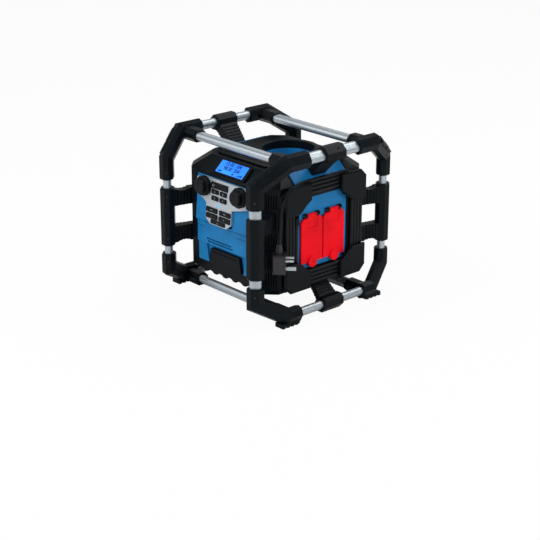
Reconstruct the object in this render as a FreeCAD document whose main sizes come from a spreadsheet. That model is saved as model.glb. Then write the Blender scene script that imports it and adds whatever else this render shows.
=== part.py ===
import FreeCAD, Part
import math
import os

import Sketcher
from FreeCAD import Placement, Rotation, Vector

# Jobsite radio in a tubular roll cage. Front is -Y, the mains outlets are on +X, up is +Z.
# The origin is the middle of the footprint. Heights are drawn from a level a little under the
# feet, and the last step lowers everything onto them.

os.makedirs("parts", exist_ok=True)
doc = FreeCAD.newDocument("jobsite_radio")
sheet = doc.addObject("Spreadsheet::Sheet", "Sizes")

DIMENSIONS = [
    # roll cage
    ("post_x", 153, "corner post axis, from the middle to the side"),
    ("post_y", 197.5, "corner post axis, from the middle to the front"),
    ("rail_x", 184, "side rail axis, from the middle to the side"),
    ("cross_y", 119, "cross tube axis, from the middle to the front"),
    ("middle_height", 197, "height of the middle of the cage"),
    ("top_rail_height", 383, "height of the upper side rails"),
    ("low_rail_height", 30, "height of the lower side rails"),
    ("cross_drop", 4, "how much lower the cross tubes lie than the rails"),
    ("tube_wide", 27, "oval tube, long way"),
    ("tube_thick", 18, "oval tube, short way"),
    ("tube_wall", 1.8, "tube wall"),
    ("tube_fit", 0.2, "play between a tube and its socket"),
    ("tube_insert", 16, "how deep a tube sits in its socket"),
    ("shell_wide", 39, "moulded sleeve, long way"),
    ("shell_thick", 32, "moulded sleeve, short way"),
    ("shell_facet", 10, "sleeve corner facet"),
    ("sleeve_half", 70, "half length of the post sleeve"),
    ("elbow_start", 90, "elbow end, from the middle height"),
    ("elbow_bend_up", 138, "upper bend, from the middle height"),
    ("elbow_bend_low", 128, "lower bend, from the middle height"),
    ("cross_socket_x", 126, "cross tube socket end"),
    ("rail_socket_top", 74, "upper rail socket end"),
    ("rail_socket_low", 96, "lower rail socket end"),
    ("clamp_length", 62, "rail clamp length"),
    ("foot_width", 26, "foot pad width"),
    ("foot_level", 9, "height of the feet in the drawing, lowered to zero at the end"),
    ("arm_gap", 25, "half gap between the two shock arms"),
    ("arm_end", 64, "outer edge of the shock arms"),
    ("arm_root", 28, "arm width at the post"),
    ("arm_tip", 18, "arm width at the housing"),
    ("rib_pitch", 8, "rubber rib spacing"),
    ("rib_radius", 2.2, "rubber rib groove radius"),
    # housing
    ("body_half", 150, "housing side, from the middle"),
    ("body_corner", 122, "start of the corner facet"),
    ("body_low", 78, "bottom of the housing frame"),
    ("body_top", 345, "top of the housing"),
    ("slope_start", 315, "height where the top slopes begin"),
    ("top_half", 117, "top face, from the middle"),
    ("body_wall", 5, "housing wall"),
    ("panel_thick", 4, "side panel thickness"),
    ("panel_gap", 0.3, "play round panels and covers"),
    ("base_low", 66, "bottom of the base skirt"),
    ("base_inset", 8, "base skirt, in from the housing side"),
    ("port_y", 40, "middle of the round top port"),
    ("port_radius", 60, "round top port"),
    ("collar_width", 13, "port collar width"),
    ("bowl_depth", 34, "port bowl depth"),
    # front
    ("front_half", 97, "front panel half width"),
    ("front_low", 98, "front panel bottom"),
    ("front_top", 300, "front panel top"),
    ("bezel_half", 72, "control plate half width"),
    ("bezel_low", 200, "control plate bottom"),
    ("bezel_high", 304, "control plate top"),
    ("bezel_thick", 5, "control plate thickness"),
    ("bezel_tilt", 5, "control plate, leaning back, degrees"),
    ("knob_x", 62, "knob axis"),
    ("knob_height", 84, "knob axis above the plate's lower edge"),
    ("knob_radius", 23, "knob radius"),
    ("knob_length", 20, "knob length"),
    ("shaft_radius", 3, "encoder shaft radius"),
    ("shaft_play", 0.05, "play of the knob on its shaft"),
    ("button_travel", 1, "button travel"),
    ("button_proud", 2.5, "button height above the plate"),
    ("display_half", 46, "display half width"),
    ("display_high", 34, "display height"),
    ("sub_half_top", 50, "subwoofer cover, half width at the top"),
    ("sub_half_low", 57, "subwoofer cover, half width at the bottom"),
    ("sub_top", 135, "subwoofer cover top"),
    ("sub_low", 92, "subwoofer cover bottom"),
    ("door_half", 88, "media door half width"),
    ("door_front", 104, "media door front edge"),
    ("door_back", 46, "media door hinge edge"),
    # outlets and cord
    ("outlet_height", 197, "middle of the outlet panel"),
    ("outlet_half_y", 78, "outlet panel half width"),
    ("outlet_half_z", 82, "outlet panel half height"),
    ("lid_wide", 66, "outlet lid width"),
    ("lid_high", 104, "outlet lid height"),
    ("lid_thick", 5, "outlet lid thickness"),
    ("lid_gap", 1.2, "half gap between the lids"),
    ("lid_pivot", 241, "height of the lid hinge"),
    ("hinge_radius", 2.5, "lid hinge pin radius"),
    ("cord_radius", 4.25, "mains cord radius"),
    ("cord_pitch", 9.4, "spacing of the cord turns"),
    ("cord_turns", 4, "turns of cord round the outlet panel"),
    ("cord_y", 54, "corner centre of the winding, sideways"),
    ("cord_z", 58, "corner centre of the winding, up"),
    ("cord_bend", 30, "bend of the innermost turn"),
    ("cord_x", 161, "plane of the winding"),
    ("cleat_out", 124, "cleat outer edge"),
    ("cleat_in", 50, "cleat inner end"),
    ("cleat_thick", 8, "cleat pad thickness"),
]

for row, (alias, value, note) in enumerate(DIMENSIONS, start=1):
    sheet.set("A%d" % row, note)
    sheet.set("B%d" % row, str(value))
    sheet.setAlias("B%d" % row, alias)
doc.recompute()


class Size:
    """A length that remembers how it is worked out from the sheet."""

    def __init__(self, value, text):
        self.value = float(value)
        self.text = text

    def join(self, other, sign, value):
        other_text = other.text if isinstance(other, Size) else repr(float(other))
        return Size(value, "(%s %s %s)" % (self.text, sign, other_text))

    def __add__(self, other):
        return self.join(other, "+", self.value + float(other))

    def __sub__(self, other):
        return self.join(other, "-", self.value - float(other))

    def __mul__(self, other):
        return self.join(other, "*", self.value * float(other))

    def __truediv__(self, other):
        return self.join(other, "/", self.value / float(other))

    def __radd__(self, other):
        return self + other

    def __rmul__(self, other):
        return self * other

    def __rsub__(self, other):
        return (-self) + other

    def __neg__(self):
        return Size(-self.value, "(0 - %s)" % self.text)

    def __float__(self):
        return self.value


def size(alias):
    return Size(sheet.get(alias), "Sizes." + alias)


(post_x, post_y, rail_x, cross_y, middle, top_rail, low_rail, cross_drop) = [
    size(a) for a in ("post_x", "post_y", "rail_x", "cross_y", "middle_height",
                      "top_rail_height", "low_rail_height", "cross_drop")]
(tube_wide, tube_thick, tube_wall, tube_fit, tube_insert) = [
    size(a) for a in ("tube_wide", "tube_thick", "tube_wall", "tube_fit", "tube_insert")]
(shell_wide, shell_thick, shell_facet, sleeve_half, elbow_start) = [
    size(a) for a in ("shell_wide", "shell_thick", "shell_facet", "sleeve_half", "elbow_start")]
(body_half, body_corner, body_low, body_top, slope_start, top_half, body_wall) = [
    size(a) for a in ("body_half", "body_corner", "body_low", "body_top", "slope_start",
                      "top_half", "body_wall")]
(panel_thick, panel_gap, base_low, base_inset) = [
    size(a) for a in ("panel_thick", "panel_gap", "base_low", "base_inset")]
(port_y, port_radius, collar_width, bowl_depth) = [
    size(a) for a in ("port_y", "port_radius", "collar_width", "bowl_depth")]
(front_half, front_low, front_top) = [
    size(a) for a in ("front_half", "front_low", "front_top")]
(bezel_half, bezel_low, bezel_high, bezel_thick) = [
    size(a) for a in ("bezel_half", "bezel_low", "bezel_high", "bezel_thick")]
(knob_x, knob_height, knob_radius, knob_length, shaft_radius, shaft_play) = [
    size(a) for a in ("knob_x", "knob_height", "knob_radius", "knob_length", "shaft_radius",
                      "shaft_play")]
(outlet_z, outlet_half_y, outlet_half_z, lid_wide, lid_high, lid_thick, lid_gap, lid_pivot,
 hinge_radius) = [
    size(a) for a in ("outlet_height", "outlet_half_y", "outlet_half_z", "lid_wide", "lid_high",
                      "lid_thick", "lid_gap", "lid_pivot", "hinge_radius")]
(cord_radius, cord_pitch, cord_y, cord_z, cord_bend, cord_x) = [
    size(a) for a in ("cord_radius", "cord_pitch", "cord_y", "cord_z", "cord_bend", "cord_x")]
(cleat_out, cleat_in, cleat_thick) = [
    size(a) for a in ("cleat_out", "cleat_in", "cleat_thick")]


# Sketched bodies. XY grows to +Z, XZ grows to -Y and YZ grows to +X.

def new_body(name):
    body = doc.addObject("PartDesign::Body", name)
    body.Label = name
    return body


def sketch_on(body, plane, level, turn=0):
    """A sketch at a level above the plane, turned about the plane's own Y axis first."""
    sketch = body.newObject("Sketcher::SketchObject", body.Name + "_sketch")
    origin_plane = [o for o in body.Origin.OriginFeatures if o.Role == plane + "_Plane"][0]
    sketch.AttachmentSupport = [(origin_plane, "")]
    sketch.MapMode = "FlatFace"
    turned = Rotation(Vector(0, 1, 0), turn)
    sketch.AttachmentOffset = Placement(turned.multVec(Vector(0, 0, float(level))), turned)
    if isinstance(level, Size):
        sketch.setExpression(".AttachmentOffset.Base.z",
                             "%s * cos(%s deg)" % (level.text, turn))
        if turn:
            sketch.setExpression(".AttachmentOffset.Base.x",
                                 "%s * sin(%s deg)" % (level.text, turn))
    return sketch


def tie(sketch, kind, geometry, vertex, value):
    if abs(float(value)) < 1e-9:
        axis = -2 if kind == "DistanceX" else -1
        sketch.addConstraint(Sketcher.Constraint("PointOnObject", geometry, vertex, axis))
        return
    index = sketch.addConstraint(Sketcher.Constraint(kind, -1, 1, geometry, vertex, float(value)))
    if isinstance(value, Size):
        sketch.setExpression("Constraints[%d]" % index, value.text)


def outline(sketch, points):
    """Straight outline through the points, each one tied to the origin."""
    first = sketch.GeometryCount
    corners = [Vector(float(u), float(v), 0) for u, v in points]
    count = len(corners)
    for i in range(count):
        sketch.addGeometry(Part.LineSegment(corners[i], corners[(i + 1) % count]))
    for i in range(count):
        sketch.addConstraint(Sketcher.Constraint(
            "Coincident", first + i, 2, first + (i + 1) % count, 1))
    for i, (u, v) in enumerate(points):
        tie(sketch, "DistanceX", first + i, 1, u)
        tie(sketch, "DistanceY", first + i, 1, v)


def circle(sketch, u, v, radius):
    index = sketch.addGeometry(Part.Circle(Vector(float(u), float(v), 0), Vector(0, 0, 1),
                                           float(radius)))
    rule = sketch.addConstraint(Sketcher.Constraint("Radius", index, float(radius)))
    if isinstance(radius, Size):
        sketch.setExpression("Constraints[%d]" % rule, radius.text)
    tie(sketch, "DistanceX", index, 3, u)
    tie(sketch, "DistanceY", index, 3, v)


def draw(sketch, shapes):
    for shape in shapes:
        if len(shape) == 3 and not isinstance(shape[0], tuple):
            circle(sketch, *shape)
        else:
            outline(sketch, shape)


def pad(body, plane, level, length, *shapes, turn=0):
    sketch = sketch_on(body, plane, level, turn)
    draw(sketch, shapes)
    feature = body.newObject("PartDesign::Pad", body.Name + "_pad")
    feature.Profile = sketch
    feature.Length = float(length)
    if isinstance(length, Size):
        feature.setExpression("Length", length.text)
    doc.recompute()
    return feature


def pocket(body, plane, level, depth, *shapes, turn=0):
    """Cuts from the sketch back into the body, against the plane's direction."""
    before = body.Shape.Volume
    sketch = sketch_on(body, plane, level, turn)
    draw(sketch, shapes)
    feature = body.newObject("PartDesign::Pocket", body.Name + "_pocket")
    feature.Profile = sketch
    feature.Length = float(depth)
    if isinstance(depth, Size):
        feature.setExpression("Length", depth.text)
    doc.recompute()
    if not body.Shape.Volume < before - 1e-3:
        raise RuntimeError("%s: a pocket cut nothing" % body.Name)
    return feature


def round_edges(body, radius, wanted, kind="PartDesign::Fillet"):
    base = body.Tip
    names = ["Edge%d" % (i + 1) for i, e in enumerate(base.Shape.Edges) if wanted(e)]
    feature = body.newObject(kind, body.Name + "_edge")
    feature.Base = (base, names)
    name = "Radius" if kind.endswith("Fillet") else "Size"
    setattr(feature, name, float(radius))
    if isinstance(radius, Size):
        feature.setExpression(name, radius.text)
    doc.recompute()
    return feature


def along(direction):
    axis = Vector(*direction)

    def wanted(edge):
        if edge.Curve.TypeId != "Part::GeomLine":
            return False
        return abs(abs(edge.tangentAt(edge.FirstParameter).dot(axis)) - 1) < 1e-6
    return wanted


def box_outline(u, v, half_u, half_v):
    return [(u - half_u, v - half_v), (u + half_u, v - half_v),
            (u + half_u, v + half_v), (u - half_u, v + half_v)]


def centred(half_u, low, high):
    return [(-half_u, low), (half_u, low), (half_u, high), (-half_u, high)]


def solid_part(name, shape):
    feature = doc.addObject("Part::Feature", name)
    feature.Label = name
    feature.Shape = shape
    return feature


# Oval aluminium tubes with fine lengthwise grooves on both flats.

GROOVES_PER_FLAT = 3
GROOVE_RADIUS = 0.7


def oval_wire(wide, thick):
    reach = (wide - thick) / 2
    half = thick / 2
    right = Part.Arc(Vector(reach, -half, 0), Vector(reach + half, 0, 0), Vector(reach, half, 0))
    left = Part.Arc(Vector(-reach, half, 0), Vector(-reach - half, 0, 0),
                    Vector(-reach, -half, 0))
    top = Part.LineSegment(Vector(reach, half, 0), Vector(-reach, half, 0))
    low = Part.LineSegment(Vector(-reach, -half, 0), Vector(reach, -half, 0))
    return Part.Wire([e.toShape() for e in (right, top, left, low)])


def oval_bar(wide, thick, length):
    return Part.Face(oval_wire(wide, thick)).extrude(Vector(0, 0, length))


def tube(length):
    wide, thick, wall = float(tube_wide), float(tube_thick), float(tube_wall)
    outer = Part.Face(oval_wire(wide, thick))
    bore = Part.Face(oval_wire(wide - 2 * wall, thick - 2 * wall))
    pitch = (wide - thick) / GROOVES_PER_FLAT
    grooves = []
    for side in (-1, 1):
        for i in range(GROOVES_PER_FLAT):
            x = (i - (GROOVES_PER_FLAT - 1) / 2) * pitch
            disc = Part.makeCircle(GROOVE_RADIUS, Vector(x, side * (thick / 2 + 0.2), 0))
            grooves.append(Part.Face(Part.Wire(disc)))
    section = outer.cut([bore] + grooves)
    return section.extrude(Vector(0, 0, length))


def lay(shape, start, direction, wide_axis):
    """Puts a bar drawn along Z at its start, with its wide way along wide_axis."""
    z = Vector(*direction).normalize()
    x = Vector(*wide_axis)
    x = (x - z * x.dot(z)).normalize()
    y = z.cross(x)
    matrix = FreeCAD.Matrix(x.x, y.x, z.x, float(start[0]), x.y, y.y, z.y, float(start[1]),
                            x.z, y.z, z.z, float(start[2]), 0, 0, 0, 1)
    moved = shape.copy()
    moved.Placement = Placement(matrix)
    return moved


PX, PY, RX, CY = float(post_x), float(post_y), float(rail_x), float(cross_y)
MID, TOP, LOW = float(middle), float(top_rail), float(low_rail)
DROP = float(cross_drop)
CROSS_END = float(size("cross_socket_x") + tube_insert)
CROSS_TOP = float(top_rail - cross_drop)
CROSS_LOW = float(low_rail - cross_drop)
POST_REACH = float(elbow_start + tube_insert)


def cross_tube(name, side, height, wide_axis):
    bar = tube(2 * CROSS_END)
    return solid_part(name, lay(bar, (-CROSS_END, side * CY, height), (1, 0, 0), wide_axis))


cross_tube("top_front_handle", -1, CROSS_TOP, (0, 1, 0))
cross_tube("top_rear_handle", 1, CROSS_TOP, (0, 1, 0))
cross_tube("bottom_front_tube", -1, CROSS_LOW, (0, 1, -1))
cross_tube("bottom_rear_tube", 1, CROSS_LOW, (0, 1, 1))

for level_name, height, socket, slant in (("top", TOP, "rail_socket_top", -1),
                                          ("bottom", LOW, "rail_socket_low", 1)):
    half = float(size(socket) + tube_insert)
    solid_part(level_name + "_side_rails", Part.Compound([
        lay(tube(2 * half), (sx * RX, -half, height), (0, 1, 0), (sx, 0, slant))
        for sx in (1, -1)]))

CORNERS = [("front_right", 1, -1), ("front_left", -1, -1), ("rear_right", 1, 1),
           ("rear_left", -1, 1)]
solid_part("corner_posts", Part.Compound([
    lay(tube(2 * POST_REACH), (sx * PX, sy * PY, MID - POST_REACH), (0, 0, 1), (sx, -sy, 0))
    for corner, sx, sy in CORNERS]))


# Moulded corner elbows: one run from the post over the bend into the rail, and a branch for
# the cross tube. The front right pair is drawn and mirrored.

def faceted_wire(centre, wide_axis, thick_axis, wide, thick, facet):
    u, v = Vector(*wide_axis).normalize(), Vector(*thick_axis).normalize()
    a, b = wide / 2, thick / 2
    ring = [(a, -b + facet), (a, b - facet), (a - facet, b), (-a + facet, b),
            (-a, b - facet), (-a, -b + facet), (-a + facet, -b), (a - facet, -b)]
    points = [centre + u * p + v * q for p, q in ring]
    return Part.makePolygon(points + points[:1])


WIDE, THICK, FACET = float(shell_wide), float(shell_thick), float(shell_facet)
MOUTH = 3


def faceted_bar(start, end, wide_axis, wide=WIDE, thick=THICK, mouths=(True, True)):
    """Eight-sided bar between two points, with its ends drawn in."""
    a, b = Vector(*start), Vector(*end)
    run = (b - a).normalize()
    thick_axis = run.cross(Vector(*wide_axis))
    steps = [(a, MOUTH if mouths[0] else 0), (a + run * MOUTH, 0),
             (b - run * MOUTH, 0), (b, MOUTH if mouths[1] else 0)]
    wires = [faceted_wire(p, wide_axis, thick_axis, wide - 2 * cut, thick - 2 * cut,
                          FACET - cut * 0.6) for p, cut in steps]
    return Part.makeLoft(wires, True, True)


def bent_run(points, wide_axis):
    """Mitred eight-sided run through the points."""
    corners = [Vector(*p) for p in points]
    path = Part.makePolygon(corners)
    first = (corners[1] - corners[0]).normalize()
    profile = faceted_wire(corners[0], wide_axis, first.cross(Vector(*wide_axis)),
                           WIDE, THICK, FACET)
    sweep = Part.BRepOffsetAPI.MakePipeShell(path)
    sweep.setTransitionMode(1)
    sweep.add(profile, False, False)
    sweep.build()
    sweep.makeSolid()
    return sweep.shape()


def socket_cut(start, direction, wide_axis, depth):
    wide, thick = float(tube_wide + tube_fit * 2), float(tube_thick + tube_fit * 2)
    return lay(oval_bar(wide, thick, depth), start, direction, wide_axis)


SCREW_RADIUS = 2.6
SCREW_DEPTH = 3
FOOT_RIBS = 4


def screw_hole(point, inward):
    direction = Vector(*inward).normalize()
    start = Vector(*point) - direction * 6
    return Part.makeCylinder(SCREW_RADIUS, 6 + SCREW_DEPTH, start, direction)


def elbow(up):
    sign = 1 if up else -1
    rail = TOP if up else LOW
    bend = float(size("elbow_bend_up" if up else "elbow_bend_low"))
    rail_end = float(size("rail_socket_top" if up else "rail_socket_low"))
    start = MID + sign * float(elbow_start)
    cross = rail - DROP
    knee = (PX, -PY, MID + sign * bend)
    turn = (RX, -CY - 12, rail)
    run = bent_run([(PX, -PY, start + sign * MOUTH), knee, turn, (RX, -rail_end - MOUTH, rail)],
                   (1, 1, 0))
    post_mouth = faceted_bar((PX, -PY, start), (PX, -PY, start + sign * 4 * MOUTH), (1, 1, 0),
                             mouths=(True, False))
    branch = faceted_bar((RX - 4, -CY, cross), (float(size("cross_socket_x")), -CY, cross),
                         (0, 1, 0), 38, 30, (False, True))
    body = run.fuse([post_mouth, branch])
    ends = run.Faces
    mouth_face = min(ends, key=lambda f: (f.CenterOfMass - Vector(RX, -rail_end - MOUTH, rail)
                                          ).Length)
    taper = mouth_taper(mouth_face, Vector(0, 1, 0))
    body = body.fuse(taper)
    slant = -1 if up else 1
    cuts = [
        socket_cut((PX, -PY, start - sign * 1), (0, 0, sign), (1, 1, 0), float(tube_insert) + 2),
        socket_cut((RX, -rail_end + 1, rail), (0, -1, 0), (1, 0, slant),
                   float(tube_insert) + 2),
        socket_cut((float(size("cross_socket_x")) - 1, -CY, cross), (1, 0, 0),
                   (0, 1, 0) if up else (0, 1, -1), float(tube_insert) + 2),
        screw_hole((PX + THICK / 2 * 0.7, -PY - THICK / 2 * 0.7, start + sign * 18), (-1, 1, 0)),
        screw_hole((PX - 13, -PY - 13, start + sign * 18), (1, 1, 0)),
        screw_hole((RX - 25, -CY, cross + sign * 15), (0, 0, -sign)),
    ]
    if up:
        body = body.fuse(grip_pads(knee, turn))
    else:
        body = body.fuse(foot_ribs(rail_end))
    body = body.cut(cuts)
    return body.removeSplitter()


def mouth_taper(face, direction):
    wire = face.OuterWire
    centre = face.CenterOfMass
    small = wire.copy()
    small.scale(1 - 2 * MOUTH / THICK, centre)
    small.translate(direction * MOUTH)
    return Part.makeLoft([wire, small], True, True)


def grip_pads(knee, turn):
    """Two raised blocks along the slope of an upper elbow."""
    a, b = Vector(*knee), Vector(*turn)
    run = (b - a).normalize()
    out = (Vector(1, -1, 0.9) - run * Vector(1, -1, 0.9).dot(run)).normalize()
    side = run.cross(out)
    blocks = []
    for low, high in ((0.10, 0.46), (0.54, 0.90)):
        length = (b - a).Length * (high - low)
        start = a + (b - a) * low + out * (THICK / 2 - 3)
        base = [start + side * s + run * t for s, t in
                ((-9, 0), (9, 0), (9, length), (-9, length))]
        wire = Part.makePolygon(base + base[:1])
        blocks.append(Part.Face(wire).extrude(out * 6.5))
    return blocks


def foot_ribs(rail_end):
    """Ribbed foot under a lower elbow; the radio stands on its flat lands."""
    width = float(size("foot_width"))
    front, back = -CY - 36, -rail_end - 8
    step = (back - front) / FOOT_RIBS
    x = RX - width / 2
    level = float(size("foot_level"))
    plate = Part.makeBox(width, back - front, 8, Vector(x, front, level + 2))
    ribs = [Part.makeBox(width, step * 0.62, 4, Vector(x, front + i * step, level))
            for i in range(FOOT_RIBS)]
    return [plate] + ribs


def mirrored(shape, sx, sy):
    """Mirrors the front right shape to another corner."""
    result = shape
    if sx < 0:
        result = result.mirror(Vector(0, 0, 0), Vector(1, 0, 0))
    if sy > 0:
        result = result.mirror(Vector(0, 0, 0), Vector(0, 1, 0))
    return result


upper_elbow, lower_elbow = elbow(True), elbow(False)
for end_name, sy in (("front", -1), ("rear", 1)):
    for level_name, shape in (("top", upper_elbow), ("bottom", lower_elbow)):
        solid_part("%s_%s_elbows" % (level_name, end_name),
                   Part.Compound([mirrored(shape, sx, sy) for sx in (1, -1)]))


# Post sleeves with two rubber shock arms each, which reach the corner facets of the housing.

ARM_END_GAP = 0.3
SKIN_CLEAR = 3.8
FACET_MIDDLE = float(body_half + body_corner) / 2


def rib_grooves(start, end, half_width, low, high):
    """Upright grooves on both flanks of an arm."""
    a, b = Vector(start[0], start[1], low), Vector(end[0], end[1], low)
    run = (b - a).normalize()
    side = Vector(-run.y, run.x, 0)
    pitch, radius = float(size("rib_pitch")), float(size("rib_radius"))
    count = int(((b - a).Length - 26) / pitch)
    grooves = []
    for i in range(count):
        for flank, width in ((-1, half_width), (1, half_width)):
            t = 24 + i * pitch
            share = t / (b - a).Length
            reach = width[0] + (width[1] - width[0]) * share
            grooves.append(Part.makeCylinder(radius, high - low + 2,
                                             a + run * t + side * (flank * (reach + 0.9))
                                             - Vector(0, 0, 1)))
    return grooves


def sleeve():
    half, gap, reach = float(sleeve_half), float(size("arm_gap")), float(size("arm_end"))
    root, tip = float(size("arm_root")) / 2, float(size("arm_tip")) / 2
    shell = faceted_bar((PX, -PY, MID - half), (PX, -PY, MID + half), (1, 1, 0))
    start, end = Vector(PX, -PY, 0), Vector(FACET_MIDDLE, -FACET_MIDDLE, 0)
    run = (end - start).normalize()
    side = Vector(-run.y, run.x, 0)
    facet_normal = Vector(1, -1, 0).normalize()
    body = shell
    for low, high in ((MID - reach, MID - gap), (MID + gap, MID + reach)):
        points = [start + side * root, end + run * 20 + side * tip,
                  end + run * 20 - side * tip, start - side * root]
        points = [p + Vector(0, 0, low) for p in points]
        arm = Part.Face(Part.makePolygon(points + points[:1])).extrude(Vector(0, 0, high - low))
        cut_back = Part.makeBox(80, 60, high - low + 2, Vector(-40, 0, 0))
        cut_back.Placement = Placement(end + Vector(0, 0, low - 1) + facet_normal * ARM_END_GAP,
                                       Rotation(Vector(0, 1, 0), Vector(-1, 1, 0)))
        arm = arm.cut(cut_back)
        arm = arm.cut(rib_grooves(start, end, (root, tip), low, high))
        hollow_z = high + 34 if low > MID else low - 34
        middle = (start + end) / 2 + run * 4
        scoop = Part.makeCylinder(38, 80, middle + Vector(0, 0, hollow_z) - side * 40, side)
        arm = arm.cut(scoop)
        body = body.fuse(arm)
    bore = socket_cut((PX, -PY, MID - half - 1), (0, 0, 1), (1, 1, 0), 2 * half + 2)
    holes = [screw_hole((PX - 13, -PY - 13, MID + dz), (1, 1, 0)) for dz in (-52, 52)]
    return body.cut([bore] + holes).removeSplitter()


post_sleeve = sleeve()
for corner, sx, sy in CORNERS:
    solid_part(corner + "_sleeve", mirrored(post_sleeve, sx, sy))


# Clamps in the middle of each side rail, with a ribbed rubber arm down to the housing.

def clamp(up):
    half = float(size("clamp_length")) / 2
    rail = TOP if up else LOW
    wide_axis = (1, 0, -1) if up else (1, 0, 1)
    shell = faceted_bar((RX, -half, rail), (RX, half, rail), wide_axis)
    if up:
        slope = Vector(float(body_half - top_half), 0, float(slope_start - body_top)).normalize()
        foot = Vector(float(body_half + top_half) / 2, 0, float(body_top + slope_start) / 2)
        normal = Vector(-slope.z, 0, slope.x)
        end_gap, half_deep = SKIN_CLEAR, 11
    else:
        foot = Vector(float(body_half - base_inset), 0, float(body_low + base_low) / 2)
        normal = Vector(1, 0, 0)
        end_gap, half_deep = ARM_END_GAP, 8
    root = Vector(RX, 0, rail)
    run = (foot - root).normalize()
    across = run.cross(Vector(0, 1, 0))
    far = foot + run * 20
    profile = [root + Vector(0, -half + 4, 0), far + Vector(0, -half + 12, 0),
               far + Vector(0, half - 12, 0), root + Vector(0, half - 4, 0)]
    base = [p - across * half_deep for p in profile]
    arm = Part.Face(Part.makePolygon(base + base[:1])).extrude(across * 2 * half_deep)
    keep_out = Part.makeBox(120, 120, 60, Vector(-60, -60, -60))
    keep_out.Placement = Placement(foot + normal * end_gap,
                                   Rotation(Vector(0, 0, 1), normal))
    under = Part.makeBox(60, 120, 60, Vector(float(body_half) + ARM_END_GAP - 60, -60,
                                             float(body_low) - ARM_END_GAP))
    arm = arm.cut([keep_out] if up else [keep_out, under])
    grooves = []
    pitch, radius = float(size("rib_pitch")), float(size("rib_radius"))
    count = int(((foot - root).Length - 22) / pitch)
    for i in range(count):
        for flank in (-1, 1):
            point = root + run * (24 + i * pitch) + across * (flank * (half_deep + 0.8))
            grooves.append(Part.makeCylinder(radius, 80, point - Vector(0, 40, 0),
                                             Vector(0, 1, 0)))
    arm = arm.cut(grooves)
    body = shell.fuse(arm)
    bore = socket_cut((RX, -half - 1, rail), (0, 1, 0), wide_axis, 2 * half + 2)
    hole = screw_hole((RX + 10, 8, rail + (10 if up else -10)), (-1, 0, -1 if up else 1))
    return body.cut([bore, hole]).removeSplitter()


for level, up in (("top", True), ("bottom", False)):
    shape = clamp(up)
    solid_part(level + "_side_clamps", Part.Compound([
        shape, shape.mirror(Vector(0, 0, 0), Vector(1, 0, 0))]))


# Housing frame: an eight-sided black moulding with sloping shoulders, open below, with a
# window for each panel, a round port, a media bay and slots in the four corner facets.

def octagon(half, corner):
    return [(half, -corner), (half, corner), (corner, half), (-corner, half),
            (-half, corner), (-half, -corner), (-corner, -half), (corner, -half)]


def grown(half, low, high, gap):
    return centred(half + gap, low - gap, high + gap)


housing = new_body("housing_frame")
pad(housing, "XY", body_low, slope_start - body_low, octagon(body_half, body_corner))
shoulder_low = sketch_on(housing, "XY", slope_start)
outline(shoulder_low, octagon(body_half, body_corner))
shoulder_high = sketch_on(housing, "XY", body_top)
outline(shoulder_high, octagon(top_half, body_corner - body_half + top_half))
shoulders = housing.newObject("PartDesign::AdditiveLoft", "shoulders")
shoulders.Profile = shoulder_low
shoulders.Sections = [shoulder_high]
shoulders.Ruled = True
doc.recompute()
inner_half = body_half - body_wall
inner_corner = body_corner - body_wall * 0.42
pocket(housing, "XY", slope_start - body_wall, slope_start - body_low,
       octagon(inner_half, inner_corner))
window = body_wall + 1
rear_half, rear_low, rear_high = front_half, front_low, front_top
pocket(housing, "XZ", body_half, window, grown(front_half, front_low, front_top, panel_gap))
rear_sketch_level = -body_half + window
pocket(housing, "XZ", rear_sketch_level, window + 1, grown(rear_half, rear_low, rear_high,
                                                           panel_gap))
pocket(housing, "XY", body_top + 1, bowl_depth + 2,
       (0, port_y, port_radius + collar_width / 2))
bay_depth = size("body_top") - slope_start - 2
pocket(housing, "XY", body_top, bay_depth, [
    (-size("door_half") + 4, -size("door_front") + 4), (size("door_half") - 4,
                                                       -size("door_front") + 4),
    (size("door_half") - 4, -size("door_back") - 6), (-size("door_half") + 4,
                                                     -size("door_back") - 6)])
FACET_LEVEL = (body_half + body_corner) * math.sqrt(0.5)
SLOT_WIDTH = 2.4
for turn in (45, -45, 135, -135):
    slots = []
    for low, high in ((90, 126), (179, 215), (268, 302)):
        for i in range(-2, 3):
            slots.append(box_outline(i * 5.6, (low + high) / 2, SLOT_WIDTH / 2, (high - low) / 2))
    pocket(housing, "XZ", FACET_LEVEL, body_wall + 8, *slots, turn=turn)
socket_z = outlet_z - 14
socket_half = lid_high / 2 - 6
pocket(housing, "YZ", body_half, window,
       box_outline(0, socket_z, lid_wide + lid_gap, socket_half + panel_gap))

# Base skirt under the frame, with the scalloped lower edge of the real one.
base = new_body("base_skirt")
base_half = body_half - base_inset
base_corner = body_corner - base_inset * 0.42
pad(base, "XY", base_low, body_low - base_low - panel_gap, octagon(base_half, base_corner))
step_in = 7
pad(base, "XY", body_low - panel_gap, step_in + panel_gap,
    octagon(inner_half - panel_gap, inner_corner - panel_gap))
scallops = [(i * 34, base_low - 12, 17) for i in range(-3, 4)]
pocket(base, "XZ", base_half, base_half * 2, *scallops)

# Round port: a black collar on the top, and the blue bowl inside it.
collar = new_body("port_collar")
pad(collar, "XY", body_top + panel_gap, 4,
    (0, port_y, port_radius + collar_width), (0, port_y, port_radius))
round_edges(collar, 1.5, lambda e: e.CenterOfMass.z > float(body_top) + 4,
            kind="PartDesign::Chamfer")
throat_low, throat_wall = body_top - 15, 2.5
pad(collar, "XY", throat_low, body_top + 1 - throat_low,
    (0, port_y, port_radius + throat_wall), (0, port_y, port_radius))

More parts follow.
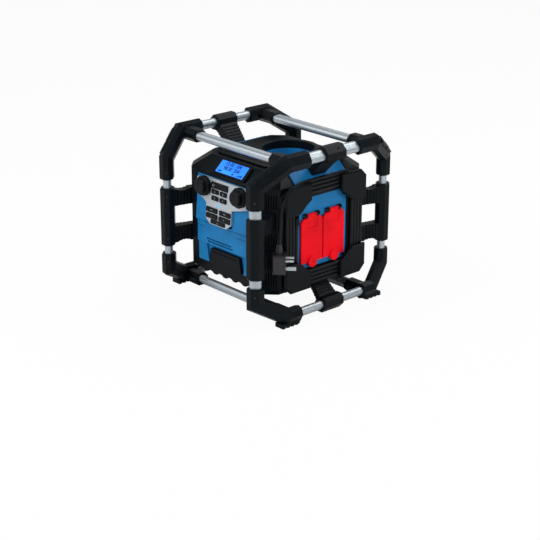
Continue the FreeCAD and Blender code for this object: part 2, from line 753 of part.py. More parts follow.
bowl = new_body("port_bowl")
bowl_low = body_top - bowl_depth
pad(bowl, "XY", bowl_low, bowl_depth, (0, port_y, port_radius + collar_width / 2
                                       - panel_gap))
pocket(bowl, "XY", body_top, bowl_depth - 3, (0, port_y, port_radius))
pocket(bowl, "XY", body_top, body_top - throat_low + panel_gap,
       (0, port_y, port_radius + throat_wall + panel_gap))
pad(bowl, "XY", bowl_low + 3, bowl_depth / 3, (0, port_y, port_radius / 3))
round_edges(bowl, 4, lambda e: e.CenterOfMass.z > float(bowl_low) + 8
            and e.BoundBox.XLength < 50 and e.BoundBox.ZLength < 0.1)


# Panels. The front one has pillars, a bulge under the controls and the louvred recess.

front_panel = new_body("front_panel")
upper_set = 6
pad(front_panel, "XZ", body_half - body_wall, body_wall - upper_set / 2,
    centred(front_half, front_low, front_top))
bulge_top, sub_top = bezel_low - 4, size("sub_top")
pad(front_panel, "XZ", body_half - body_wall, body_wall + 5, centred(front_half, sub_top + 8,
                                                                    bulge_top))
for side in (-1, 1):
    pad(front_panel, "XZ", body_half - body_wall, body_wall + 2, [
        (front_half * side, front_low), (front_half * side, bulge_top + 18),
        ((front_half - 14) * side, bulge_top + 18), ((size("sub_half_low") + 3) * side,
                                                     front_low)])
PLATE_OUT = 12
plate_foot = -body_half - PLATE_OUT + panel_gap
lean_back = (bezel_high + 2 - bezel_low) * math.tan(math.radians(sheet.get("bezel_tilt")))
wedge_half = front_half - 3
pad(front_panel, "YZ", -wedge_half, wedge_half * 2, [
    (-body_half + body_wall, bulge_top - 1), (plate_foot + 4, bulge_top - 1),
    (plate_foot, bezel_low), (plate_foot + lean_back, bezel_high + 2),
    (-body_half - panel_gap, bezel_high + 2), (-body_half - panel_gap, front_top),
    (-body_half + body_wall, front_top)])
BOARD_STEP = 62
pocket(front_panel, "XZ", body_half + PLATE_OUT + 3, PLATE_OUT + body_wall + 6, [
    (-53, bezel_low + 2), (33, bezel_low + 2), (33, bezel_low + BOARD_STEP),
    (77, bezel_low + BOARD_STEP), (77, front_top), (-77, front_top),
    (-77, bezel_low + BOARD_STEP), (-53, bezel_low + BOARD_STEP)])
SLOT_HIGH = 4
for left, right, height in ((-64, 22, sub_top + 19), (-60, 28, sub_top + 12.5)):
    pocket(front_panel, "XZ", body_half + 5, 5, [
        (left, height), (right, height), (right, height + SLOT_HIGH), (left, height + SLOT_HIGH)])
seam = sub_top + 47
pocket(front_panel, "XZ", body_half + 5, 2,
       [(-front_half - 1, seam), (-70, seam), (-70, seam + 1.6), (-front_half - 1, seam + 1.6)],
       [(40, seam), (front_half + 1, seam), (front_half + 1, seam + 1.6), (40, seam + 1.6)])
sub_half_top, sub_half_low, sub_low = (size("sub_half_top"), size("sub_half_low"),
                                       size("sub_low"))
sub_cover = new_body("subwoofer_cover")
pad(sub_cover, "XZ", body_half - 3 + panel_gap, 9 - panel_gap, [
    (-sub_half_low + 0.5, front_low + 1), (sub_half_low - 0.5, front_low + 1),
    (sub_half_top - 0.5, sub_top + 1), (-sub_half_top + 0.5, sub_top + 1)])
round_edges(sub_cover, 3, along((0, 1, 0)))
pocket(sub_cover, "XZ", body_half + 6, 2,
       centred(sub_half_top - 10, sub_top - 8, sub_top - 5))

rear_panel = new_body("rear_panel")
pad(rear_panel, "XZ", -body_half, body_wall - 1, centred(rear_half, rear_low, rear_high))
vents = [box_outline(0, rear_high - 16 - i * 8, rear_half - 30, 1.6) for i in range(5)]
pocket(rear_panel, "XZ", -body_half + body_wall - 1, body_wall, *vents)
battery_low, battery_high, battery_half = 112, 236, 66
pocket(rear_panel, "XZ", -body_half + body_wall - 1, body_wall,
       centred(battery_half - 4, battery_low + 4,
               battery_high - 4))

battery_door = new_body("battery_door")
door_y = body_half + panel_gap
PIN_RADIUS, PIN_PLAY = 1.5, 0.05
barrel_z, barrel_half = battery_low + 1, 50
barrel_y = door_y + 4
pad(battery_door, "XZ", -door_y - 4, 4, [
    (-barrel_half - 1.5, barrel_z), (barrel_half + 1.5, barrel_z),
    (barrel_half + 1.5, barrel_z + 5), (battery_half, barrel_z + 5),
    (battery_half, battery_high), (-battery_half, battery_high),
    (-battery_half, barrel_z + 5), (-barrel_half - 1.5, barrel_z + 5)])
round_edges(battery_door, 6, lambda e: along((0, 1, 0))(e)
            and e.CenterOfMass.z > battery_high - 1)
pad(battery_door, "XZ", -door_y - 7, 4, box_outline(
    0, battery_high - 12, 18, 4))

pad(battery_door, "YZ", -barrel_half, 2 * barrel_half, (barrel_y, barrel_z, 3))
pocket(battery_door, "YZ", barrel_half + 2, 2 * barrel_half + 4,
       (barrel_y, barrel_z, PIN_RADIUS + PIN_PLAY))

battery_pack = new_body("battery_pack")
pad(battery_pack, "XZ", -body_half + 1 + panel_gap * 2, 78,
    centred(battery_half - 4 - panel_gap, battery_low + 4 + panel_gap, battery_high - 24))


def side_panel(name, sx):
    """Blue side skin that follows the wall and the shoulder of the housing."""
    body = new_body(name)
    skin, gap = panel_thick - 1, panel_gap
    run = math.hypot(float(body_half - top_half), float(body_top - slope_start))
    rise = float(body_half - top_half) / run
    lift = float(body_top - slope_start) / run
    low = outlet_z - outlet_half_z
    inner = [(body_half + gap, low), (body_half + gap, slope_start),
             (top_half + gap + 4, body_top - 4 * lift / rise + 0.3)]
    outer = [(top_half + gap + 4 + skin * lift, body_top - 4 * lift / rise + 0.3 + skin * rise),
             (body_half + gap + skin, slope_start + 1), (body_half + gap + skin, low)]
    points = [(u * sx, v) for u, v in inner + outer]
    pad(body, "XZ", -outlet_half_y, outlet_half_y * 2, points)
    return body


outlet_panel = side_panel("outlet_panel", 1)
pocket(outlet_panel, "YZ", body_half + panel_thick + 1, 8,
       box_outline(0, socket_z, lid_wide - 1.5, socket_half + panel_gap))
left_panel = side_panel("left_panel", -1)
side_vents = [box_outline(0, outlet_z + (i - 3) * 14, outlet_half_y - 22, 2.2)
              for i in range(7)]
pocket(left_panel, "YZ", -body_half + 1, 8, *side_vents)


# Outlet sockets behind two sprung red lids, each on its own hinge pin.

LID_X = body_half + panel_gap + panel_thick + 0.6
PIVOT_X = LID_X + lid_thick / 2
lid_low = lid_pivot - lid_high - 8
sockets = new_body("outlet_sockets")
for side in (-1, 1):
    centre = (lid_wide / 2 + lid_gap) * side
    pad(sockets, "YZ", body_half - 20, 22,
        box_outline(centre, socket_z, lid_wide / 2 - 3.2, socket_half))
pad(sockets, "YZ", body_half - 20, 6,
    box_outline(0, socket_z, lid_wide - 8, socket_half))
for side in (-1, 1):
    centre = (lid_wide / 2 + lid_gap) * side
    pocket(sockets, "YZ", body_half + 2, 12, (centre, socket_z, 21))
    pocket(sockets, "YZ", body_half - 10, 8,
           (centre - 9.5, socket_z, 2.6),
           (centre + 9.5, socket_z, 2.6))


def outlet_lid(name, side):
    body = new_body(name)
    near, far = lid_gap * side, (lid_gap + lid_wide) * side
    middle_y = (lid_gap + lid_wide / 2) * side
    top = lid_pivot - 6
    cut = 8
    pad(body, "YZ", LID_X, lid_thick, [
        (near, lid_low), (far, lid_low), (far, top - cut), (far - cut * side, top),
        (near + cut * side, top), (near, top - cut)])
    round_edges(body, 1.6, lambda e: e.CenterOfMass.x > float(LID_X + lid_thick) - 0.01)
    tongue = 13
    pad(body, "YZ", LID_X, lid_thick, box_outline(middle_y, lid_pivot - 4, tongue,
                                                  5))
    barrel = sketch_on(body, "XZ", -(middle_y + tongue))
    circle(barrel, PIVOT_X, lid_pivot, hinge_radius * 1.5)
    roll = body.newObject("PartDesign::Pad", name + "_barrel")
    roll.Profile = barrel
    roll.Length = 2 * tongue
    doc.recompute()
    bore = sketch_on(body, "XZ", -(middle_y - tongue - 1))
    circle(bore, PIVOT_X, lid_pivot, hinge_radius + 0.05)
    hole = body.newObject("PartDesign::Pocket", name + "_bore")
    hole.Profile = bore
    hole.Length = 2 * tongue + 2
    doc.recompute()
    pad(body, "YZ", LID_X + 1, 8, (middle_y, lid_low + 2, 13))
    pocket(body, "YZ", LID_X + lid_thick + 1, 2.5, box_outline(middle_y, top - 16, 17, 8))
    return body


outlet_lid("outlet_lid_front", -1)
outlet_lid("outlet_lid_rear", 1)

knuckles = []
pins = []
for side in (-1, 1):
    middle_y = float((lid_gap + lid_wide / 2) * side)
    pins.append(Part.makeCylinder(float(hinge_radius), 46,
                                  Vector(float(PIVOT_X), middle_y - 23, float(lid_pivot)),
                                  Vector(0, 1, 0)))
    for end in (-1, 1):
        start = Vector(float(PIVOT_X), middle_y + end * 19 - 5, float(lid_pivot))
        barrel = Part.makeCylinder(float(hinge_radius) * 1.5, 10, start, Vector(0, 1, 0))
        block = Part.makeBox(float(PIVOT_X - body_half - panel_gap - panel_thick) + 1.2, 10, 9,
                             Vector(float(body_half + panel_gap + panel_thick) - 0.7,
                                    start.y, float(lid_pivot) - 4.5))
        knuckles.append(barrel.fuse(block).cut(
            Part.makeCylinder(float(hinge_radius) + 0.05, 12, start - Vector(0, 1, 0),
                              Vector(0, 1, 0))))
solid_part("lid_knuckles", Part.Compound(knuckles))
solid_part("lid_hinge_pins", Part.Compound(pins))


# Control plate and everything on it, drawn flat from the plate's lower edge and leaned back
# with it. Z is out of the plate here.

CONTROL_X = -10
LEAN = 90 - sheet.get("bezel_tilt")
plate_base = Vector(0, -float(body_half + PLATE_OUT), float(bezel_low))
plate_place = Placement(plate_base, Rotation(Vector(1, 0, 0), LEAN))
plate_high = bezel_high - bezel_low

buttons = {"power_button": (CONTROL_X, 92, 28, 7)}
for name, u, v in (("preset_1", -14, 77), ("preset_2", 14, 77), ("preset_3", -14, 62),
                   ("preset_4", 14, 62)):
    buttons[name + "_button"] = (CONTROL_X + u, v, 11, 5)
for name, u, v in (("source", -23, 33), ("equalizer", 23, 33), ("display", -22, 19),
                   ("playback", 22, 19)):
    buttons[name + "_button"] = (CONTROL_X + u, v, 19, 5.5)
buttons["menu_button"] = (CONTROL_X, 7, 24, 4.5)

plate = new_body("control_plate")
plate_outline = [
    (-38, 0), (18, 0), (34, 12), (34, 46), (66, 54), (92, 62), (95, 84), (88, 104),
    (56, 106), (48, plate_high + 2), (-66, plate_high + 2), (-90, 100), (-95, 84), (-90, 62),
    (-66, 54), (-54, 46), (-54, 12)]
pad(plate, "XY", 0, bezel_thick, plate_outline)
round_edges(plate, 3, along((0, 0, 1)))
PLAY = 0.4
pocket(plate, "XY", bezel_thick + 1, bezel_thick + 3,
       *[box_outline(u, v, a + PLAY, b + PLAY) for u, v, a, b in buttons.values()])
pocket(plate, "XY", bezel_thick + 1, bezel_thick + 3,
       (-knob_x, knob_height, shaft_radius + 3), (knob_x, knob_height, shaft_radius + 3))
screw_spots = [(-60, 100), (42, 100), (-48, 14), (28, 14)]
pocket(plate, "XY", bezel_thick, 2, *[(u, v, 2.2) for u, v in screw_spots])
pocket(plate, "XY", bezel_thick + 1, bezel_thick + 3, (CONTROL_X, 48, 3))
plate.Placement = plate_place

PROUD = size("button_proud")
BOARD_TOP = -6.6
STEM_LOW = BOARD_TOP + sheet.get("button_travel") + 0.4
for name, (u, v, a, b) in buttons.items():
    button = new_body(name)
    pad(button, "XY", 0.2, bezel_thick + PROUD, box_outline(u, v, a, b))
    pad(button, "XY", STEM_LOW, 1 - STEM_LOW, box_outline(u, v, a - 4, b - 2))
    round_edges(button, 1.2, lambda e: along((0, 0, 1))(e) and e.CenterOfMass.z > 2)
    round_edges(button, 0.6, lambda e: e.CenterOfMass.z > float(bezel_thick + PROUD))
    button.Placement = plate_place

light = new_body("status_light")
pad(light, "XY", BOARD_TOP + 0.1, bezel_thick - BOARD_TOP + 0.4, (CONTROL_X, 48, 2.9))
light.Placement = plate_place

for name, u in (("left_knob", -knob_x), ("right_knob", knob_x)):
    knob = new_body(name)
    skirt = knob_length * 0.55
    pad(knob, "XY", bezel_thick + 0.6, skirt, (u, knob_height, knob_radius))
    round_edges(knob, 2.5, lambda e: e.CenterOfMass.z > float(bezel_thick + 0.6 + skirt) - 0.1,
                kind="PartDesign::Chamfer")
    pad(knob, "XY", bezel_thick + 0.6, knob_length, (u, knob_height, knob_radius - 6))
    round_edges(knob, 1.5, lambda e: e.CenterOfMass.z > float(bezel_thick + knob_length),
                kind="PartDesign::Chamfer")
    notches = []
    for i in range(20):
        notches.append([
            (u + (knob_radius + reach) * math.cos(math.radians(18 * i + turn)),
             knob_height + (knob_radius + reach) * math.sin(math.radians(18 * i + turn)))
            for reach, turn in ((1, -5.5), (-1.4, -2.5), (-1.4, 2.5), (1, 5.5))])
    pocket(knob, "XY", bezel_thick + 1 + skirt, skirt + 1, *notches)
    pocket(knob, "XY", bezel_thick + knob_length - 3, knob_length,
           (u, knob_height, shaft_radius + shaft_play))
    pocket(knob, "XY", bezel_thick + knob_length + 1.6, 2,
           box_outline(u, knob_height + 8, 1.2, 5))
    knob.Placement = plate_place

shafts = []
for side in (-1, 1):
    spot = Vector(side * float(knob_x), float(knob_height), 0)
    shaft = Part.makeCylinder(float(shaft_radius), float(bezel_thick + knob_length) - 4, spot)
    block = Part.makeBox(16, 14, 6.4, spot + Vector(-8, -7, BOARD_TOP - 0.1))
    shaft = shaft.fuse(Part.makeCylinder(5, 5.6, spot - Vector(0, 0, 1)))
    shafts.append(shaft.fuse(block))
step, top_edge = BOARD_STEP + 2, float(plate_high) - 5
board_outline = [Vector(u, v, BOARD_TOP - 1.6) for u, v in (
    (-48, 5), (28, 5), (28, step), (75, step), (75, top_edge), (-75, top_edge), (-75, step),
    (-48, step))]
board = Part.Face(Part.makePolygon(board_outline + board_outline[:1])).extrude(Vector(0, 0, 1.6))
feature = solid_part("control_board", board.fuse(shafts))
feature.Placement = plate_place


# Display on the sloping shoulder: a raised frame with a window in it.

slope_run = Vector(0, float(body_half - top_half), float(body_top - slope_start))
slope_angle = math.degrees(math.atan2(slope_run.z, slope_run.y))
slope_place = Placement(Vector(0, -float(body_half), float(slope_start)),
                        Rotation(Vector(1, 0, 0), slope_angle))
display_half, display_high = size("display_half"), size("display_high")
display_frame = new_body("display_frame")
DISPLAY_X = 8
display_mid = display_high / 2 + 4
pad(display_frame, "XY", panel_gap, 5,
    box_outline(DISPLAY_X, display_mid, display_half + 9, display_high / 2 + 2.7))
round_edges(display_frame, 4, along((0, 0, 1)))
round_edges(display_frame, 1.5, lambda e: e.CenterOfMass.z > 5)
pocket(display_frame, "XY", 6, 2.6,
       box_outline(DISPLAY_X, display_mid, display_half, display_high / 2 - 0.5))
display_frame.Placement = slope_place
display = new_body("display_window")
pad(display, "XY", 3.4, 1.4,
    box_outline(DISPLAY_X, display_mid, display_half - 0.3, display_high / 2 - 0.8))
round_edges(display, 2, along((0, 0, 1)))
display.Placement = slope_place

# Media bay door on the top, hinged along its rear edge on two pins.

door_half, door_front, door_back = size("door_half"), size("door_front"), size("door_back")
media_door = new_body("media_door")
door_level = body_top + panel_gap
HINGE_RISE = 2.6
pad(media_door, "XY", door_level, 4, [
    (-door_half + 8, -door_front), (door_half - 8, -door_front), (door_half, -door_front + 8),
    (door_half, -door_back - 4), (-door_half, -door_back - 4), (-door_half, -door_front + 8)])
ribs = [box_outline(0, -door_back - 14 - i * 8, door_half - 16, 1.2) for i in range(5)]
pocket(media_door, "XY", door_level + 4, 1.2, *ribs)
pad(media_door, "YZ", -door_half + 14, door_half * 2 - 28,
    [(-door_back - 6, door_level), (-door_back - 6, door_level + 4), (-door_back, door_level + 4),
     (-door_back + 1.8, door_level + 3.2), (-door_back + 1.8, door_level + 1.4),
     (-door_back, door_level)])
pocket(media_door, "YZ", door_half, door_half * 2 + 2,
       (-door_back, body_top + HINGE_RISE, 1.05))
pivots = []
for side in (-1, 1):
    x = side * (float(door_half) - 14) - (12 if side > 0 else 2)
    pin = Part.makeCylinder(1.0, 14, Vector(x, -float(door_back), float(body_top) + HINGE_RISE),
                            Vector(1, 0, 0))
    ear_x = x + 12.3 if side > 0 else x - 2.3
    ear = Part.makeBox(4, 5, 5, Vector(ear_x, -float(door_back) - 2.5,
                                       float(body_top) + 0.05))
    pivots.append(pin.fuse(ear))
for side in (-1, 1):
    pin = Part.makeCylinder(PIN_RADIUS, 16, Vector(side * 46 - 8, float(barrel_y), barrel_z),
                            Vector(1, 0, 0))
    ear = Part.makeBox(6, float(barrel_y - body_half) + 2.6, 7.2,
                       Vector(side * (barrel_half + 5.3) - 3, float(body_half) + 0.05,
                              barrel_z - 4))
    pin.translate(Vector(side * 3, 0, 0))
    pivots.append(pin.fuse(ear))
solid_part("door_hinges", Part.Compound(pivots))


# Mains cord: a flat spiral of turns round the outlet panel, held under four cleats.

def cord_route(turns, start_drop, end_y):
    """Edges of the winding: straight runs and quarter turns about shifted centres."""
    y, z, x = float(cord_y), float(cord_z), float(cord_x)
    mid, pitch, bend = float(outlet_z), float(cord_pitch), float(cord_bend)
    corners = []
    for turn in range(turns):
        radius = bend + turn * pitch
        corners += [(-y, mid - z, radius, 180), (y, mid - z + pitch / 2, radius + pitch / 2, 270),
                    (y, mid + z + pitch / 2, radius + pitch / 2, 0),
                    (-y, mid + z, radius + pitch, 90)]
    edges = []
    last = Vector(x, -y - bend, mid + start_drop)
    for centre_y, centre_z, radius, angle in corners[:-1]:
        first, middle_point, end = [
            Vector(x, centre_y + radius * math.cos(math.radians(a)),
                   centre_z + radius * math.sin(math.radians(a)))
            for a in (angle, angle + 45, angle + 90)]
        edges.append(Part.LineSegment(last, first).toShape())
        edges.append(Part.Arc(first, middle_point, end).toShape())
        last = end
    end = Vector(x, end_y, last.z)
    edges.append(Part.LineSegment(last, end).toShape())
    return edges, end


def tube_along(edges, radius):
    path = Part.Wire(edges)
    start = edges[0].Vertexes[0].Point
    direction = edges[0].tangentAt(edges[0].FirstParameter)
    ring = Part.Wire(Part.makeCircle(radius, start, direction))
    sweep = Part.BRepOffsetAPI.MakePipeShell(path)
    sweep.add(ring, False, False)
    sweep.build()
    sweep.makeSolid()
    return sweep.shape()


CORD = float(cord_radius)
GLAND_LOW = 30
WINDING_END_Y = -42
winding_edges, winding_end = cord_route(int(sheet.get("cord_turns")), GLAND_LOW, WINDING_END_Y)
solid_part("cord_winding", tube_along(winding_edges, CORD))
print("winding length: %.0f mm" % sum(e.Length for e in winding_edges))

TAIL_POINTS = [winding_end, Vector(161, -72, 322.3), Vector(161, -101, 311),
               Vector(161, -120.5, 289), Vector(161.2, -129, 260), Vector(165, -135.5, 235),
               Vector(169, -140.8, 217.5), Vector(171, -143.9, 201.5)]


def rounded_route(points):
    """Straight runs joined by tangent arcs as large as the runs allow."""
    edges = []
    last = points[0]
    for before, corner, after in zip(points, points[1:], points[2:]):
        into, out = (corner - before).normalize(), (after - corner).normalize()
        turn = into.getAngle(out)
        reach = 0.45 * min((corner - before).Length, (after - corner).Length)
        radius = reach / math.tan(turn / 2)
        print("cord bend radius: %.1f mm" % radius)
        a, b = corner - into * reach, corner + out * reach
        inward = (out - into).normalize()
        middle_point = corner + inward * (radius / math.cos(turn / 2) - radius)
        edges.append(Part.LineSegment(last, a).toShape())
        edges.append(Part.Arc(a, middle_point, b).toShape())
        last = b
    edges.append(Part.LineSegment(last, points[-1]).toShape())
    return edges


tail_edges = rounded_route(TAIL_POINTS)
tail = tube_along(tail_edges, CORD)
tail_length = sum(e.Length for e in tail_edges)
print("tail length: %.0f mm, volume share %.4f" % (
    tail_length, tail.Volume / (math.pi * CORD ** 2 * tail_length)))
solid_part("cord_tail", tail)


def least_gap(edges, radius, step, skip):
    """Least gap of a cord to itself, between points further apart along it than skip."""
    points = []
    for edge in edges:
        points += edge.discretize(Distance=step)
    far = int(skip / step)
    return min(p.distanceToPoint(q) for i, p in enumerate(points)
               for q in points[i + far:]) - 2 * radius


print("least gap of the cord to itself: %.2f mm"
      % least_gap(winding_edges + tail_edges, CORD, 4, 60))

frame = new_body("cord_frame")
frame_x = body_half + panel_gap
pad(frame, "YZ", frame_x, cord_x - cord_radius - panel_gap - frame_x, [
    (cleat_out - 12, outlet_z - cleat_out), (cleat_out, outlet_z - cleat_out + 12),
    (cleat_out, outlet_z + cleat_out - 26), (cleat_out - 14, outlet_z + cleat_out - 12),
    (-cleat_out + 14, outlet_z + cleat_out - 12), (-cleat_out, outlet_z + cleat_out - 26),
    (-cleat_out, outlet_z - cleat_out + 12), (-cleat_out + 12, outlet_z - cleat_out)],
    box_outline(0, outlet_z, outlet_half_y + panel_gap, outlet_half_z + 3))

pocket(frame, "YZ", frame_x + panel_thick - 1 + panel_gap, panel_thick,
       box_outline(0, outlet_z + cleat_out - 28, outlet_half_y + panel_gap, 16))
pocket(frame, "YZ", cord_x, cord_x - body_half, box_outline(0, outlet_z - cleat_out, 34, 14))
gland_y = -cord_y - cord_bend
gland_low = outlet_z + GLAND_LOW
pad(frame, "YZ", frame_x + 1, cord_x + cord_radius + 0.6 - frame_x - 1,
    [(gland_y - 4.7, gland_low), (gland_y + 5, gland_low),
     (gland_y + 5, gland_low + 22), (gland_y - 4.7, gland_low + 16)])

cleats = []
pad_x = float(cord_x + cord_radius) + 0.4
OUT, IN, MIDZ = float(cleat_out), float(cleat_in), float(outlet_z)
for sy in (-1, 1):
    for sz in (-1, 1):
        ring = [(OUT, IN + 6), (OUT, OUT - 16), (OUT - 16, OUT), (IN - 4, OUT), (IN - 4, 84),
                (62, 74), (73, 63), (84, IN + 6)]
        corners = [Vector(pad_x, sy * a, MIDZ + sz * b) for a, b in ring]
        plate_face = Part.Face(Part.makePolygon(corners + corners[:1]))
        cleat = plate_face.extrude(Vector(float(cleat_thick), 0, 0))
        edges = [e for e in cleat.Edges
                 if abs(e.CenterOfMass.x - pad_x - float(cleat_thick)) < 0.01]
        cleat = cleat.makeChamfer(2.5, edges)
        stem_low = float(body_half + panel_gap + panel_thick) - 0.7
        stem = Part.makeBox(pad_x - stem_low + 1, 7.5, 4.5,
                            Vector(stem_low, sy * 67.75 - 3.75, MIDZ + sz * 73.25 - 2.25))
        cleats.append(cleat.fuse(stem).removeSplitter())
solid_part("cord_cleats", Part.Compound(cleats))


# Mains plug with flat pins, parked at the corner. Drawn along its pins, then turned.

PLUG_CENTRE = Vector(174, -147, 160)
plug_axis = Vector(1, 1, 0).normalize()
plug_place = Placement(FreeCAD.Matrix(
    -plug_axis.y, 0, plug_axis.x, PLUG_CENTRE.x, plug_axis.x, 0, plug_axis.y, PLUG_CENTRE.y,
    0, 1, 0, PLUG_CENTRE.z, 0, 0, 0, 1))
shell = Part.makeBox(36, 46, 30, Vector(-18, -25, -15))
shell = shell.makeFillet(6, [e for e in shell.Edges if along((0, 0, 1))(e)])
shell = shell.makeChamfer(3, [e for e in shell.Edges if e.CenterOfMass.z < -14.9])
tail_start = plug_place.inverse().multVec(TAIL_POINTS[-1])
relief_low = 20.9
relief = Part.makeCone(8, 5.6, tail_start.y - relief_low, Vector(tail_start.x, relief_low,
                                                                 tail_start.z),
                       Vector(0, 1, 0))
plug_shell = shell.fuse(relief).removeSplitter()
plug = solid_part("plug_body", plug_shell)
plug.Placement = plug_place
PIN_TOP, PIN_LOW = 8, -14.2
pin_shapes = [Part.makeBox(6.35, 4, 17.7, Vector(side * 11.1 - 3.175, PIN_TOP - 2, 15))
              for side in (-1, 1)]
pin_shapes.append(Part.makeBox(4, 8, 22.7, Vector(-2, PIN_LOW - 4, 15)))
pins_part = solid_part("plug_pins", Part.Compound(pin_shapes))
pins_part.Placement = plug_place


# Drivers inside: one behind each corner facet, and the subwoofer on the base.

def driver(radius, depth):
    profile = [(0, 0), (radius, 0), (radius, 3), (radius - 4, 3), (radius * 0.45, depth),
               (0, depth)]
    points = [Vector(a, 0, b) for a, b in profile]
    face = Part.Face(Part.makePolygon(points + points[:1]))
    cone = face.revolve(Vector(0, 0, 0), Vector(0, 0, 1), 360)
    dish = Part.makeCone(radius - 6, radius * 0.3, 12, Vector(0, 0, -0.01))
    return cone.cut(dish)


drivers = []
for turn in (45, 135, 225, 315):
    spin = Rotation(Vector(0, 0, 1), turn) * Rotation(Vector(0, 1, 0), -90)
    item = driver(17, 26)
    direction = Rotation(Vector(0, 0, 1), turn).multVec(Vector(1, 0, 0))
    reach = float(FACET_LEVEL) - float(body_wall) - float(panel_gap)
    item.Placement = Placement(direction * reach + Vector(0, 0, float(middle)), spin)
    drivers.append(item)
solid_part("corner_speakers", Part.Compound(drivers))
sub = driver(72, 60)
sub.translate(Vector(0, 0, float(body_low) + step_in + 0.3))
solid_part("subwoofer", sub)


# Check everything and write one file for each piece.

doc.recompute()
pieces = [o for o in doc.Objects if o.TypeId in ("PartDesign::Body", "Part::Feature")]
lowered = Placement(Vector(0, 0, -float(size("foot_level"))), Rotation())
for piece in pieces:
    piece.Placement = lowered * piece.Placement
doc.recompute()
for obj in doc.Objects:
    if "Invalid" in obj.State or "Error" in obj.State:
        raise RuntimeError("%s failed: %s" % (obj.Name, obj.State))
for piece in pieces:
    if piece.Shape.isNull() or not piece.Shape.isValid():
        raise RuntimeError("%s has no valid shape" % piece.Label)
for piece in pieces:
    piece.Shape.exportStep("parts/%s.step" % piece.Label)
print("%d pieces written" % len(pieces))
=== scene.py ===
import math

import bpy
from mathutils import Matrix, Vector


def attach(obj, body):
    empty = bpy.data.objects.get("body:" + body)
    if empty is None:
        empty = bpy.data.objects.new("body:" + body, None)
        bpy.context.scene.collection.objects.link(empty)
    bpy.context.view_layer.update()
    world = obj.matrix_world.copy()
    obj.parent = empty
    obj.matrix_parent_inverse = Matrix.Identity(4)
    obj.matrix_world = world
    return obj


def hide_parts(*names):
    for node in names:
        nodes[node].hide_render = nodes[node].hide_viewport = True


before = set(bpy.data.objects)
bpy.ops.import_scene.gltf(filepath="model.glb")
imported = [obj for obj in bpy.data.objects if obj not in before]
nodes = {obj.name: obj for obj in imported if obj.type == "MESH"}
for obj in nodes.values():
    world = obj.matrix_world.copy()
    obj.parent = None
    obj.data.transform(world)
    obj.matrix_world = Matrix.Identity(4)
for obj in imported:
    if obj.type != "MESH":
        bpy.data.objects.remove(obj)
bpy.ops.object.select_all(action="DESELECT")
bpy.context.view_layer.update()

# Camera: it stands off the front right corner, a little above the radio. Its long lens keeps the
# near and the far edges of the cage almost parallel.
CAMERA_PLACE = (2.2938, -2.0793, 1.2332)
CAMERA_TURN, CAMERA_LIFT = math.radians(48.043), math.radians(20.982)
bpy.ops.object.camera_add(location=CAMERA_PLACE)
camera = bpy.context.object
toward_camera = Vector((math.sin(CAMERA_TURN) * math.cos(CAMERA_LIFT),
                        -math.cos(CAMERA_TURN) * math.cos(CAMERA_LIFT),
                        math.sin(CAMERA_LIFT)))
camera.rotation_mode = "QUATERNION"
camera.rotation_quaternion = (-toward_camera).to_track_quat("-Z", "Y")
camera.data.sensor_width = 36
camera.data.lens = 93.33
camera.data.clip_end = 100
bpy.context.scene.camera = camera

# Floor: a plain pale sheet, a hair below the feet. The camera sees it nearly white, it lights
# the radio from below as pale grey, and it keeps the radio's shadow.
FLOOR_SIZE, FLOOR_DROP, CAMERA_WHITE = 14, 0.0004, 0.94
bpy.ops.mesh.primitive_plane_add(size=FLOOR_SIZE, location=(0, 0, -FLOOR_DROP))
floor = bpy.context.object
floor.name = "floor"
paper = bpy.data.materials.new("white_floor")
paper.use_nodes = True
paper_nodes, paper_links = paper.node_tree.nodes, paper.node_tree.links
paper_skin = paper_nodes["Principled BSDF"]
paper_skin.inputs["Base Color"].default_value = (0.9, 0.9, 0.9, 1)
paper_skin.inputs["Roughness"].default_value = 0.8
paper_glow = paper_nodes.new("ShaderNodeEmission")
paper_glow.inputs["Color"].default_value = (1, 1, 1, 1)
paper_path = paper_nodes.new("ShaderNodeLightPath")
paper_share = paper_nodes.new("ShaderNodeMath")
paper_share.operation = "MULTIPLY"
paper_share.inputs[1].default_value = CAMERA_WHITE
paper_links.new(paper_path.outputs["Is Camera Ray"], paper_share.inputs[0])
paper_mix = paper_nodes.new("ShaderNodeMixShader")
paper_links.new(paper_share.outputs[0], paper_mix.inputs[0])
paper_links.new(paper_skin.outputs[0], paper_mix.inputs[1])
paper_links.new(paper_glow.outputs[0], paper_mix.inputs[2])
paper_links.new(paper_mix.outputs[0], paper_nodes["Material Output"].inputs["Surface"])
floor.data.materials.append(paper)

# Light: a white room and three soft square lamps, turned to the middle of the radio: the largest
# off the front left, the smallest on the right, and one behind.
ROOM_LIGHT = 0.45
LAMPS = (((-0.9, -2.2, 2.0), 1.6, 42), ((2.4, -0.2, 1.6), 1.2, 19), ((0.4, 1.8, 2.2), 1.4, 22))
LIT_POINT = Vector((0, 0, 0.2))
world = bpy.data.worlds.new("white_room")
bpy.context.scene.world = world
world.use_nodes = True
room_nodes, room_links = world.node_tree.nodes, world.node_tree.links
room = room_nodes["Background"]
room.inputs["Color"].default_value = (1, 1, 1, 1)
room.inputs["Strength"].default_value = ROOM_LIGHT
backdrop = room_nodes.new("ShaderNodeBackground")
backdrop.inputs["Color"].default_value = (1, 1, 1, 1)
room_path = room_nodes.new("ShaderNodeLightPath")
room_mix = room_nodes.new("ShaderNodeMixShader")
room_links.new(room_path.outputs["Is Camera Ray"], room_mix.inputs[0])
room_links.new(room.outputs[0], room_mix.inputs[1])
room_links.new(backdrop.outputs[0], room_mix.inputs[2])
room_links.new(room_mix.outputs[0], room_nodes["World Output"].inputs["Surface"])
